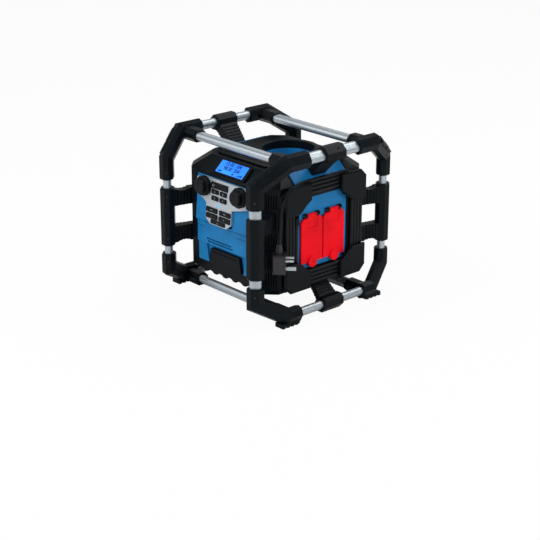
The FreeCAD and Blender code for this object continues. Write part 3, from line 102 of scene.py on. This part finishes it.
for place, size, power in LAMPS:
    bpy.ops.object.light_add(type="AREA", location=place)
    lamp = bpy.context.object
    lamp.data.size = size
    lamp.data.energy = power
    lamp.rotation_mode = "QUATERNION"
    lamp.rotation_quaternion = (LIT_POINT - Vector(place)).to_track_quat("-Z", "Y")
bpy.context.scene.view_settings.view_transform = "Standard"

# Mains cord: one round rubber cable. It leaves its gland, runs four times round the outlet
# panel under the cleats, and comes down past the front upper corner to its plug. Its turns are
# straight runs and quarter bends, and each turn lies a pitch outside the last.
CORD_RADIUS, TURNS, TURN_PITCH = 0.00425, 4, 0.0094
CORD_X, MIDDLE, GLAND_UP = 0.161, 0.188, 0.030
TURN_SIDE, TURN_UP, TURN_BEND = 0.054, 0.058, 0.030
HALF_STEP = 15
TAIL = ((0.161, -0.042, 0.3136), (0.161, -0.072, 0.3133), (0.161, -0.101, 0.302),
        (0.161, -0.1205, 0.280), (0.1612, -0.129, 0.251), (0.165, -0.1355, 0.226),
        (0.169, -0.1408, 0.2085), (0.171, -0.1439, 0.1925))
route = [Vector((CORD_X, -TURN_SIDE - TURN_BEND, MIDDLE + GLAND_UP))]
corners = []
for lap in range(TURNS):
    bend = TURN_BEND + lap * TURN_PITCH
    half = TURN_PITCH / 2
    corners += [(-TURN_SIDE, MIDDLE - TURN_UP, bend, 180),
                (TURN_SIDE, MIDDLE - TURN_UP + half, bend + half, 270),
                (TURN_SIDE, MIDDLE + TURN_UP + half, bend + half, 0),
                (-TURN_SIDE, MIDDLE + TURN_UP, bend + TURN_PITCH, 90)]
# Each quarter bend has five evenly spaced points. The last bend is left out, because the tail
# begins there.
for side, up, bend, angle in corners[:-1]:
    reach = bend / math.cos(math.radians(HALF_STEP))
    arc = [Vector((CORD_X, side + reach * math.cos(math.radians(angle + part)),
                   up + reach * math.sin(math.radians(angle + part))))
           for part in (HALF_STEP, 3 * HALF_STEP, 5 * HALF_STEP)]
    route += [arc[0] + (arc[0] - arc[1]).length * Vector((0, math.sin(math.radians(angle)),
                                                          -math.cos(math.radians(angle))))]
    route += arc
    route += [arc[2] + (arc[2] - arc[1]).length * Vector((0, -math.cos(math.radians(angle)),
                                                          -math.sin(math.radians(angle))))]
route += [Vector(point) for point in TAIL]
cable = bpy.data.curves.new("mains_cord", "CURVE")
cable.dimensions = "3D"
# The bevel is a metre deep and each point's radius brings it down to the cord's own, because
# a curve's box grows by the radius of its points.
cable.bevel_depth = 1.0
cable.bevel_resolution = 5
cable.resolution_u = 8
strand = cable.splines.new("NURBS")
strand.points.add(len(route) - 1)
for point, place in zip(strand.points, route):
    point.co = (*place, 1)
    point.radius = CORD_RADIUS
strand.order_u = 3
strand.use_endpoint_u = True
mains_cord = bpy.data.objects.new("mains_cord", cable)
bpy.context.scene.collection.objects.link(mains_cord)
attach(mains_cord, "chassis")
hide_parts("cord_winding", "cord_tail")

# Moulded finish: the fine grain of an injection mould, a little uneven in colour and gloss,
# rubbed paler in small scuffs and along the edges. The plastics, the rubber, the black screws
# and the printed marks share it.
EDGE_ROUND, GLOSS_SPREAD, GRAIN_HEIGHT = 0.0011, 0.16, 0.0004
finish = bpy.data.node_groups.new("moulded_finish", "ShaderNodeTree")
for label, kind, value in (("Color", "NodeSocketColor", (0.1, 0.1, 0.1, 1)),
                           ("Scuff Color", "NodeSocketColor", (0.2, 0.2, 0.2, 1)),
                           ("Scuffs", "NodeSocketFloat", 0.1),
                           ("Grain Scale", "NodeSocketFloat", 900.0),
                           ("Grain Depth", "NodeSocketFloat", 0.1),
                           ("Gloss Roughness", "NodeSocketFloat", 0.4)):
    socket = finish.interface.new_socket(label, in_out="INPUT", socket_type=kind)
    socket.default_value = value
for label, kind in (("Color", "NodeSocketColor"), ("Roughness", "NodeSocketFloat"),
                    ("Normal", "NodeSocketVector")):
    finish.interface.new_socket(label, in_out="OUTPUT", socket_type=kind)
mould_nodes, mould_links = finish.nodes, finish.links
settings = mould_nodes.new("NodeGroupInput")
outcome = mould_nodes.new("NodeGroupOutput")
coords = mould_nodes.new("ShaderNodeTexCoord")
cloud = mould_nodes.new("ShaderNodeTexNoise")
cloud.inputs["Scale"].default_value = 22
cloud.inputs["Detail"].default_value = 4
scratch_place = mould_nodes.new("ShaderNodeMapping")
scratch_place.inputs["Scale"].default_value = (1, 1.7, 0.6)
scratch = mould_nodes.new("ShaderNodeTexNoise")
scratch.inputs["Scale"].default_value = 70
scratch.inputs["Detail"].default_value = 8
scratch.inputs["Roughness"].default_value = 0.7
grain = mould_nodes.new("ShaderNodeTexVoronoi")
mould_links.new(coords.outputs["Object"], cloud.inputs["Vector"])
mould_links.new(coords.outputs["Object"], scratch_place.inputs["Vector"])
mould_links.new(scratch_place.outputs[0], scratch.inputs["Vector"])
mould_links.new(coords.outputs["Object"], grain.inputs["Vector"])
mould_links.new(settings.outputs["Grain Scale"], grain.inputs["Scale"])
spots = mould_nodes.new("ShaderNodeMapRange")
spots.inputs["From Min"].default_value = 0.60
spots.inputs["From Max"].default_value = 0.72
mould_links.new(scratch.outputs["Fac"], spots.inputs["Value"])
amount = mould_nodes.new("ShaderNodeMath")
amount.operation = "MULTIPLY"
mould_links.new(spots.outputs[0], amount.inputs[0])
mould_links.new(settings.outputs["Scuffs"], amount.inputs[1])
shade = mould_nodes.new("ShaderNodeMapRange")
shade.inputs["From Min"].default_value = 0.3
shade.inputs["From Max"].default_value = 0.7
shade.inputs["To Min"].default_value = 0.86
shade.inputs["To Max"].default_value = 1.14
mould_links.new(cloud.outputs["Fac"], shade.inputs["Value"])
uneven = mould_nodes.new("ShaderNodeVectorMath")
uneven.operation = "SCALE"
mould_links.new(settings.outputs["Color"], uneven.inputs[0])
mould_links.new(shade.outputs[0], uneven.inputs["Scale"])
rounded = mould_nodes.new("ShaderNodeBevel")
rounded.samples = 4
rounded.inputs["Radius"].default_value = EDGE_ROUND
facing = mould_nodes.new("ShaderNodeNewGeometry")
turned_away = mould_nodes.new("ShaderNodeVectorMath")
turned_away.operation = "DOT_PRODUCT"
mould_links.new(rounded.outputs[0], turned_away.inputs[0])
mould_links.new(facing.outputs["Normal"], turned_away.inputs[1])
edge = mould_nodes.new("ShaderNodeMapRange")
edge.inputs["From Min"].default_value = 0.985
edge.inputs["From Max"].default_value = 0.80
edge.inputs["To Max"].default_value = 0.55
mould_links.new(turned_away.outputs["Value"], edge.inputs["Value"])
rubbed = mould_nodes.new("ShaderNodeMath")
rubbed.operation = "MULTIPLY"
mould_links.new(edge.outputs[0], rubbed.inputs[0])
mould_links.new(scratch.outputs["Fac"], rubbed.inputs[1])
wear = mould_nodes.new("ShaderNodeMath")
wear.operation = "ADD"
wear.use_clamp = True
mould_links.new(amount.outputs[0], wear.inputs[0])
mould_links.new(rubbed.outputs[0], wear.inputs[1])
worn = mould_nodes.new("ShaderNodeMix")
worn.data_type = "RGBA"
mould_links.new(wear.outputs[0], worn.inputs["Factor"])
mould_links.new(uneven.outputs[0], worn.inputs["A"])
mould_links.new(settings.outputs["Scuff Color"], worn.inputs["B"])
mould_links.new(worn.outputs["Result"], outcome.inputs["Color"])
gloss = mould_nodes.new("ShaderNodeMath")
gloss.operation = "MULTIPLY_ADD"
gloss.inputs[1].default_value = GLOSS_SPREAD
mould_links.new(cloud.outputs["Fac"], gloss.inputs[0])
mould_links.new(settings.outputs["Gloss Roughness"], gloss.inputs[2])
mould_links.new(gloss.outputs[0], outcome.inputs["Roughness"])
bump = mould_nodes.new("ShaderNodeBump")
bump.inputs["Distance"].default_value = GRAIN_HEIGHT
mould_links.new(settings.outputs["Grain Depth"], bump.inputs["Strength"])
mould_links.new(grain.outputs["Distance"], bump.inputs["Height"])
mould_links.new(rounded.outputs[0], bump.inputs["Normal"])
mould_links.new(bump.outputs[0], outcome.inputs["Normal"])


def moulded(name, color, scuff_color, scuffs=0.12, scale=900.0, depth=0.12, roughness=0.36,
            specular=0.5):
    """A material with the shared moulded finish, in its own colours."""
    material = bpy.data.materials.new(name)
    material.use_nodes = True
    tree = material.node_tree
    skin = tree.nodes["Principled BSDF"]
    skin.inputs["Specular IOR Level"].default_value = specular
    mould = tree.nodes.new("ShaderNodeGroup")
    mould.node_tree = finish
    mould.inputs["Color"].default_value = (*color, 1)
    mould.inputs["Scuff Color"].default_value = (*scuff_color, 1)
    mould.inputs["Scuffs"].default_value = scuffs
    mould.inputs["Grain Scale"].default_value = scale
    mould.inputs["Grain Depth"].default_value = depth
    mould.inputs["Gloss Roughness"].default_value = roughness
    tree.links.new(mould.outputs["Color"], skin.inputs["Base Color"])
    tree.links.new(mould.outputs["Roughness"], skin.inputs["Roughness"])
    tree.links.new(mould.outputs["Normal"], skin.inputs["Normal"])
    return material


def dress(material, *names):
    """The material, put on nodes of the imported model."""
    for name in names:
        for holder in nodes[name].material_slots:
            holder.material = material


cord_rubber = moulded("cord_rubber", (0.004, 0.0052, 0.0065), (0.03, 0.033, 0.036), 0.1, 500,
                      0.1, 0.36, 0.22)
cable.materials.append(cord_rubber)

# Roll cage mouldings: black elbows, sleeves and clamps, and the sleeves' ribbed shock arms.
# They are moulded in a hard black nylon, take the tubes in their sockets and bores, and are held
# by screws.
cage_black = moulded("cage_black", (0.0035, 0.0058, 0.0078), (0.03, 0.037, 0.045), 0.14, 850,
                     0.16, 0.26, 0.10)
dress(cage_black, "top_front_elbows", "top_rear_elbows", "bottom_front_elbows",
      "bottom_rear_elbows", "front_right_sleeve", "front_left_sleeve", "rear_right_sleeve",
      "rear_left_sleeve", "top_side_clamps", "bottom_side_clamps")


# Cage tubes: extruded aluminium, left bare, with fine draw lines along each tube. Their ends
# sit in the sockets of the mouldings.
def drawn_metal(name, across):
    """Metal with a fine relief, drawn out into lines along an axis with a low scale."""
    material = bpy.data.materials.new(name)
    material.use_nodes = True
    tree = material.node_tree
    skin = tree.nodes["Principled BSDF"]
    skin.inputs["Metallic"].default_value = 0.9
    place = tree.nodes.new("ShaderNodeTexCoord")
    stretch = tree.nodes.new("ShaderNodeMapping")
    stretch.inputs["Scale"].default_value = across
    lines = tree.nodes.new("ShaderNodeTexNoise")
    lines.inputs["Scale"].default_value = 1.0
    lines.inputs["Detail"].default_value = 6
    tree.links.new(place.outputs["Object"], stretch.inputs["Vector"])
    tree.links.new(stretch.outputs[0], lines.inputs["Vector"])
    tone = tree.nodes.new("ShaderNodeValToRGB")
    tone.color_ramp.elements[0].position = 0.3
    tone.color_ramp.elements[0].color = (0.40, 0.455, 0.495, 1)
    tone.color_ramp.elements[1].position = 0.7
    tone.color_ramp.elements[1].color = (0.58, 0.645, 0.685, 1)
    tree.links.new(lines.outputs["Fac"], tone.inputs["Fac"])
    tree.links.new(tone.outputs["Color"], skin.inputs["Base Color"])
    rough = tree.nodes.new("ShaderNodeMapRange")
    rough.inputs["To Min"].default_value = 0.36
    rough.inputs["To Max"].default_value = 0.54
    tree.links.new(lines.outputs["Fac"], rough.inputs["Value"])
    tree.links.new(rough.outputs[0], skin.inputs["Roughness"])
    relief = tree.nodes.new("ShaderNodeBump")
    relief.inputs["Strength"].default_value = 0.25
    relief.inputs["Distance"].default_value = 0.0003
    tree.links.new(lines.outputs["Fac"], relief.inputs["Height"])
    tree.links.new(relief.outputs[0], skin.inputs["Normal"])
    return material


dress(drawn_metal("tube_metal_across", (3, 900, 900)), "top_front_handle", "top_rear_handle",
      "bottom_front_tube", "bottom_rear_tube")
dress(drawn_metal("tube_metal_along", (900, 3, 900)), "top_side_rails", "bottom_side_rails")
dress(drawn_metal("tube_metal_upright", (900, 900, 3)), "corner_posts")

# Cage screws: black oxide cap screws with a round recess in the head, turned from steel. One is
# sunk in every hole of the elbows, sleeves and clamps.
SCREW_RADIUS, SCREW_HEAD, SCREW_DROP, SCREW_RIM = 0.0025, 0.0022, 0.0019, 0.0005
RIM_RISE, RECESS_WALL, RECESS_DEEP = 0.0003, 0.0006, 0.0014
bpy.ops.mesh.primitive_cylinder_add(vertices=24, radius=SCREW_RADIUS, depth=SCREW_HEAD,
                                    location=(0, 0, -SCREW_DROP))
screw = bpy.context.object
bpy.ops.object.mode_set(mode="EDIT")
bpy.ops.mesh.select_all(action="DESELECT")
bpy.ops.object.mode_set(mode="OBJECT")
for face in screw.data.polygons:
    face.select = face.normal.z > 0.9
bpy.ops.object.mode_set(mode="EDIT")
bpy.ops.mesh.inset(thickness=SCREW_RIM, depth=RIM_RISE)
bpy.ops.mesh.inset(thickness=RECESS_WALL, depth=0)
bpy.ops.mesh.extrude_region_move(TRANSFORM_OT_translate={"value": (0, 0, -RECESS_DEEP)})
bpy.ops.object.mode_set(mode="OBJECT")
bpy.ops.object.transform_apply(location=True, rotation=True, scale=True)
bpy.ops.object.shade_smooth_by_angle(angle=math.radians(30))
screw_steel = moulded("screw_black_oxide", (0.03, 0.032, 0.036), (0.25, 0.25, 0.26), 0.3, 1500,
                      0.05, 0.3)
screw.data.materials.append(screw_steel)
POST_X, POST_Y, RAIL_X, CROSS_Y = 0.153, 0.1975, 0.184, 0.119
RAIL_HIGH, RAIL_LOW, CROSS_DROP, ELBOW_START = 0.374, 0.021, 0.004, 0.090
ELBOW_SCREW, SIDE_OUT, FACE_IN, SLEEVE_SCREW = 0.018, 0.0112, 0.013, 0.052
CROSS_IN, CROSS_SCREW = 0.025, 0.015
CLAMP_OUT, CLAMP_ALONG, CLAMP_UP = 0.010, 0.008, 0.010
corner_holes = []
for rail, start, sign in ((RAIL_HIGH, MIDDLE + ELBOW_START, 1),
                          (RAIL_LOW, MIDDLE - ELBOW_START, -1)):
    cross = rail - CROSS_DROP
    level = start + sign * ELBOW_SCREW
    corner_holes += [((POST_X + SIDE_OUT, -POST_Y - SIDE_OUT, level), (-1, 1, 0)),
                     ((POST_X - FACE_IN, -POST_Y - FACE_IN, level), (1, 1, 0)),
                     ((RAIL_X - CROSS_IN, -CROSS_Y, cross + sign * CROSS_SCREW),
                      (0, 0, -sign))]
corner_holes += [((POST_X - FACE_IN, -POST_Y - FACE_IN, MIDDLE + up), (1, 1, 0))
                 for up in (-SLEEVE_SCREW, SLEEVE_SCREW)]


def set_screw(place, inward, scale=1.0):
    """A copy of the screw, sunk at the bottom of its hole."""
    copy = screw.copy()
    copy.data = screw.data.copy()
    bpy.context.scene.collection.objects.link(copy)
    turned = (-Vector(inward)).to_track_quat("Z", "Y").to_matrix().to_4x4()
    copy.data.transform(Matrix.Translation(Vector(place)) @ turned @ Matrix.Scale(scale, 4))
    return copy


def joined(name, pieces, body):
    """Several small pieces made into one that rides on a body."""
    bpy.ops.object.select_all(action="DESELECT")
    for piece in pieces:
        piece.select_set(True)
    bpy.context.view_layer.objects.active = pieces[0]
    bpy.ops.object.join()
    whole = bpy.context.object
    whole.name = name
    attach(whole, body)
    return whole


screws = []
for side in (1, -1):
    for end in (1, -1):
        for place, inward in corner_holes:
            screws.append(set_screw((place[0] * side, place[1] * end, place[2]),
                                    (inward[0] * side, inward[1] * end, inward[2])))
    for rail, sign in ((RAIL_HIGH, 1), (RAIL_LOW, -1)):
        screws.append(set_screw(((RAIL_X + CLAMP_OUT) * side, CLAMP_ALONG,
                                 rail + sign * CLAMP_UP), (-side, 0, -sign)))
joined("cage_screws", screws, "chassis")

# Housing: the body, skirt, port collar, doors, cord frame and cleats, all moulded in a grained
# black nylon. The speakers, the battery pack and the lids' fixed knuckles have the same finish.
housing_black = moulded("housing_black", (0.0035, 0.0056, 0.0074), (0.026, 0.033, 0.040), 0.12,
                        1000, 0.14, 0.30, 0.10)
dress(housing_black, "housing_frame", "base_skirt", "port_collar", "subwoofer_cover",
      "battery_door", "media_door", "display_frame", "cord_frame", "cord_cleats", "battery_pack",
      "lid_knuckles", "corner_speakers", "subwoofer")

# Blue panels: satin moulded plastic, let into the windows of the housing on the front, the back
# and both sides. The bowl inside the round port is of the same plastic.
panel_blue = moulded("panel_blue", (0.010, 0.180, 0.440), (0.06, 0.30, 0.55), 0.10, 1100, 0.10,
                     0.32, 0.14)
dress(panel_blue, "front_panel", "rear_panel", "outlet_panel", "left_panel", "port_bowl")

# Outlets: black moulded sockets behind two red lids, which swing up on steel pins. The body of
# the plug has the sockets' finish, and the hinges of the two doors that of the pins.
outlet_black = moulded("outlet_black", (0.012, 0.012, 0.014), (0.05, 0.05, 0.05), 0.05, 900,
                       0.06, 0.3)
dress(outlet_black, "outlet_sockets", "plug_body")
lid_red = moulded("lid_red", (0.88, 0.003, 0.012), (0.92, 0.08, 0.09), 0.08, 1100, 0.10, 0.36,
                  0.08)
dress(lid_red, "outlet_lid_front", "outlet_lid_rear")
dress(drawn_metal("pin_steel", (400, 3, 400)), "lid_hinge_pins", "door_hinges")

# Plug pins: three flat blades of nickel-plated brass, two for the current and one for earth.
# They are fixed in the body of the plug and bare over the length that shows.
dress(drawn_metal("plated_brass", (300, 300, 300)), "plug_pins")

# Control plate: silver paint over plastic, with fine flakes in it. It carries black rubber
# buttons and two black knobs with notched rims, and a green board stands behind it.
plate_silver = bpy.data.materials.new("plate_silver")
plate_silver.use_nodes = True
silver_tree = plate_silver.node_tree
silver_skin = silver_tree.nodes["Principled BSDF"]
silver_skin.inputs["Metallic"].default_value = 0.55
silver_place = silver_tree.nodes.new("ShaderNodeTexCoord")
flake = silver_tree.nodes.new("ShaderNodeTexNoise")
flake.inputs["Scale"].default_value = 2500
flake.inputs["Detail"].default_value = 2
silver_tree.links.new(silver_place.outputs["Object"], flake.inputs["Vector"])
flake_tone = silver_tree.nodes.new("ShaderNodeValToRGB")
flake_tone.color_ramp.elements[0].color = (0.36, 0.40, 0.44, 1)
flake_tone.color_ramp.elements[1].color = (0.62, 0.67, 0.72, 1)
silver_tree.links.new(flake.outputs["Fac"], flake_tone.inputs["Fac"])
silver_tree.links.new(flake_tone.outputs["Color"], silver_skin.inputs["Base Color"])
flake_rough = silver_tree.nodes.new("ShaderNodeMapRange")
flake_rough.inputs["To Min"].default_value = 0.3
flake_rough.inputs["To Max"].default_value = 0.5
silver_tree.links.new(flake.outputs["Fac"], flake_rough.inputs["Value"])
silver_tree.links.new(flake_rough.outputs[0], silver_skin.inputs["Roughness"])
dress(plate_silver, "control_plate")
button_rubber = moulded("button_rubber", (0.0035, 0.0045, 0.006), (0.022, 0.025, 0.03), 0.08,
                        1400, 0.08, 0.34, 0.14)
button_names = ["power_button", "preset_1_button", "preset_2_button", "preset_3_button",
                "preset_4_button", "source_button", "equalizer_button", "display_button",
                "playback_button", "menu_button"]
dress(button_rubber, *button_names)
knob_black = moulded("knob_black", (0.0035, 0.005, 0.0065), (0.03, 0.036, 0.042), 0.12, 1200,
                     0.08, 0.24, 0.13)
dress(knob_black, "left_knob", "right_knob")
dress(moulded("board_green", (0.01, 0.06, 0.03), (0.1, 0.2, 0.1), 0.1), "control_board")

# Plate screws: four smaller ones of the same steel, sunk in the corners of the control plate.
# The plate leans back by five degrees, and its places are across and up from PLATE_PLACE.
PLATE_PLACE = (Matrix.Translation(Vector((0, -0.162, 0.191)))
               @ Matrix.Rotation(math.radians(85), 4, "X"))
PLATE_SCREWS = ((-0.060, 0.100), (0.042, 0.100), (-0.048, 0.014), (0.028, 0.014))
PLATE_SCREW_LEVEL, PLATE_SCREW_SCALE = 0.0054, 0.85
plate_inward = -(PLATE_PLACE.to_3x3() @ Vector((0, 0, 1)))
plate_screws = [set_screw(PLATE_PLACE @ Vector((across, up, PLATE_SCREW_LEVEL)), plate_inward,
                          PLATE_SCREW_SCALE) for across, up in PLATE_SCREWS]
joined("plate_screws", plate_screws, "chassis")
bpy.data.objects.remove(screw)

# Button marks: numbers, plain signs and a power ring in pale print, a hair proud of the rubber.
# Each mark moves with its own button.
BUTTON_TOP, PRINT_THICK, NUMBER_SIZE, SIGN_SIZE = 0.0077, 0.00006, 0.006, 0.0065
print_white = moulded("print_white", (0.62, 0.66, 0.70), (0.4, 0.42, 0.45), 0.15, 1500, 0.02,
                      0.45)


def printed(name, body, text, across, up, height, place, level, ink, heavy=0.0):
    """Flat printed characters at a place on a leaning face."""
    bpy.ops.object.text_add(location=(0, 0, 0))
    mark = bpy.context.object
    mark.name = name
    mark.data.body = text
    mark.data.size = height
    mark.data.extrude = PRINT_THICK
    mark.data.offset = heavy
    mark.data.align_x = "CENTER"
    mark.data.align_y = "CENTER"
    bpy.ops.object.convert(target="MESH")
    mark = bpy.context.object
    mark.data.transform(place @ Matrix.Translation(Vector((across, up, level))))
    mark.data.materials.clear()
    mark.data.materials.append(ink)
    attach(mark, body)


for number, across, up in ((1, -0.024, 0.077), (2, 0.004, 0.077), (3, -0.024, 0.062),
                           (4, 0.004, 0.062)):
    printed("preset_%d_mark" % number, "preset_%d_button" % number, str(number), across, up,
            NUMBER_SIZE, PLATE_PLACE, BUTTON_TOP, print_white)
for body, sign, across, up in (("source_button", "<<", -0.033, 0.033),
                               ("equalizer_button", ">>", 0.013, 0.033),
                               ("display_button", "-", -0.032, 0.019),
                               ("playback_button", "+", 0.012, 0.019),
                               ("menu_button", "o", -0.010, 0.007)):
    printed(body.replace("_button", "_mark"), body, sign, across, up, SIGN_SIZE, PLATE_PLACE,
            BUTTON_TOP, print_white)
RING_RADIUS, RING_WIRE, RING_PLACE = 0.0026, 0.00035, (-0.030, 0.092, BUTTON_TOP)
GAP_ABOVE, GAP_HALF, STROKE_WIDE, STROKE_UP = 0.0016, 0.0015, 0.0006, 0.0022
bpy.ops.mesh.primitive_torus_add(major_radius=RING_RADIUS, minor_radius=RING_WIRE,
                                 major_segments=28, minor_segments=6)
ring = bpy.context.object
ring.name = "power_mark"
bpy.ops.object.mode_set(mode="EDIT")
bpy.ops.mesh.select_all(action="DESELECT")
bpy.ops.object.mode_set(mode="OBJECT")
for vertex in ring.data.vertices:
    vertex.select = vertex.co.y > GAP_ABOVE and abs(vertex.co.x) < GAP_HALF
bpy.ops.object.mode_set(mode="EDIT")
bpy.ops.mesh.delete(type="VERT")
bpy.ops.mesh.select_all(action="SELECT")
bpy.ops.mesh.select_non_manifold(extend=False)
bpy.ops.mesh.edge_face_add()
bpy.ops.mesh.primitive_cube_add(size=STROKE_WIDE, location=(0, STROKE_UP, 0),
                                scale=(1, 4.5, 0.6))
bpy.ops.object.mode_set(mode="OBJECT")
ring.data.transform(PLATE_PLACE @ Matrix.Translation(Vector(RING_PLACE)))
ring.data.materials.append(print_white)
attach(ring, "power_button")

# Display: a lit blue window in a black frame on the sloping shoulder, with plain dark figures
# and level bars a hair proud of it. The small status light is a paler lens of the same kind.
display_lit = bpy.data.materials.new("display_lit")
display_lit.use_nodes = True
lit_tree = display_lit.node_tree
lit_skin = lit_tree.nodes["Principled BSDF"]
lit_skin.inputs["Roughness"].default_value = 0.18
lit_skin.inputs["Coat Weight"].default_value = 0.3
lit_skin.inputs["Emission Strength"].default_value = 0.72
lit_place = lit_tree.nodes.new("ShaderNodeTexCoord")
lit_shift = lit_tree.nodes.new("ShaderNodeMapping")
lit_shift.inputs["Location"].default_value = (0, 0.140, -0.321)
lit_cells = lit_tree.nodes.new("ShaderNodeTexNoise")
lit_cells.inputs["Scale"].default_value = 14
lit_tree.links.new(lit_place.outputs["Object"], lit_shift.inputs["Vector"])
lit_tree.links.new(lit_shift.outputs[0], lit_cells.inputs["Vector"])
lit_tone = lit_tree.nodes.new("ShaderNodeValToRGB")
lit_tone.color_ramp.elements[0].position = 0.3
lit_tone.color_ramp.elements[0].color = (0.004, 0.14, 0.72, 1)
lit_tone.color_ramp.elements[1].position = 0.7
lit_tone.color_ramp.elements[1].color = (0.02, 0.27, 0.92, 1)
lit_tree.links.new(lit_cells.outputs["Fac"], lit_tone.inputs["Fac"])
lit_tree.links.new(lit_tone.outputs["Color"], lit_skin.inputs["Base Color"])
lit_tree.links.new(lit_tone.outputs["Color"], lit_skin.inputs["Emission Color"])
dress(display_lit, "display_window")
light_lens = display_lit.copy()
light_lens.name = "light_lens"
light_ramp = [node for node in light_lens.node_tree.nodes if node.type == "VALTORGB"][0]
light_ramp.color_ramp.elements[0].color = (0.02, 0.35, 0.85, 1)
light_ramp.color_ramp.elements[1].color = (0.10, 0.55, 1.0, 1)
dress(light_lens, "status_light")
SCREEN_PLACE = (Matrix.Translation(Vector((0.008, -0.150, 0.306)))
                @ Matrix.Rotation(math.atan2(0.030, 0.033), 4, "X"))
SCREEN_TOP, FIGURE_SIZE, FIGURE_WEIGHT = 0.00485, 0.0125, 0.00018
figure_ink = moulded("figure_ink", (0.002, 0.006, 0.06), (0.002, 0.006, 0.06), 0.0, 900, 0.0,
                     0.5, 0.05)
for name, figures, across, up in (("clock_figures", "12:30  104", -0.003, 0.0310),
                                  ("tuning_figures", "98.50  204", -0.001, 0.0190)):
    printed(name, "chassis", figures, across, up, FIGURE_SIZE, SCREEN_PLACE, SCREEN_TOP,
            figure_ink, FIGURE_WEIGHT)
LEVEL_BARS, LEVEL_START, LEVEL_STEP, LEVEL_WIDE, LEVEL_FOOT = 5, 0.026, 0.0034, 0.0024, 0.0075
LEVEL_LOWEST, LEVEL_RISE = 0.002, 0.0009
DASH_UP, DASH_TALL, BAR_THICK, BAR_ROUND = 0.0095, 0.0042, 0.00012, 0.0003
bars = []
for step in range(LEVEL_BARS):
    tall = LEVEL_LOWEST + step * LEVEL_RISE
    bars.append((LEVEL_START + step * LEVEL_STEP, LEVEL_FOOT + tall / 2, LEVEL_WIDE, tall))
for across, wide in ((-0.036, 0.0045), (-0.030, 0.004), (0.010, 0.005)):
    bars.append((across, DASH_UP, wide, DASH_TALL))
screen_bars = []
for across, up, wide, tall in bars:
    bpy.ops.mesh.primitive_cube_add(size=1, scale=(wide, tall, BAR_THICK))
    bar = bpy.context.object
    bpy.ops.object.transform_apply(location=True, rotation=True, scale=True)
    bpy.ops.object.modifier_add(type="BEVEL")
    bar.modifiers[0].width = BAR_ROUND
    bar.modifiers[0].segments = 2
    bar.modifiers[0].affect = "EDGES"
    bpy.ops.object.modifier_apply(modifier=bar.modifiers[0].name)
    bar.data.transform(SCREEN_PLACE @ Matrix.Translation(Vector((across, up, SCREEN_TOP))))
    screen_bars.append(bar)
joined("screen_bars", screen_bars, "chassis").data.materials.append(figure_ink)

bpy.context.view_layer.update()
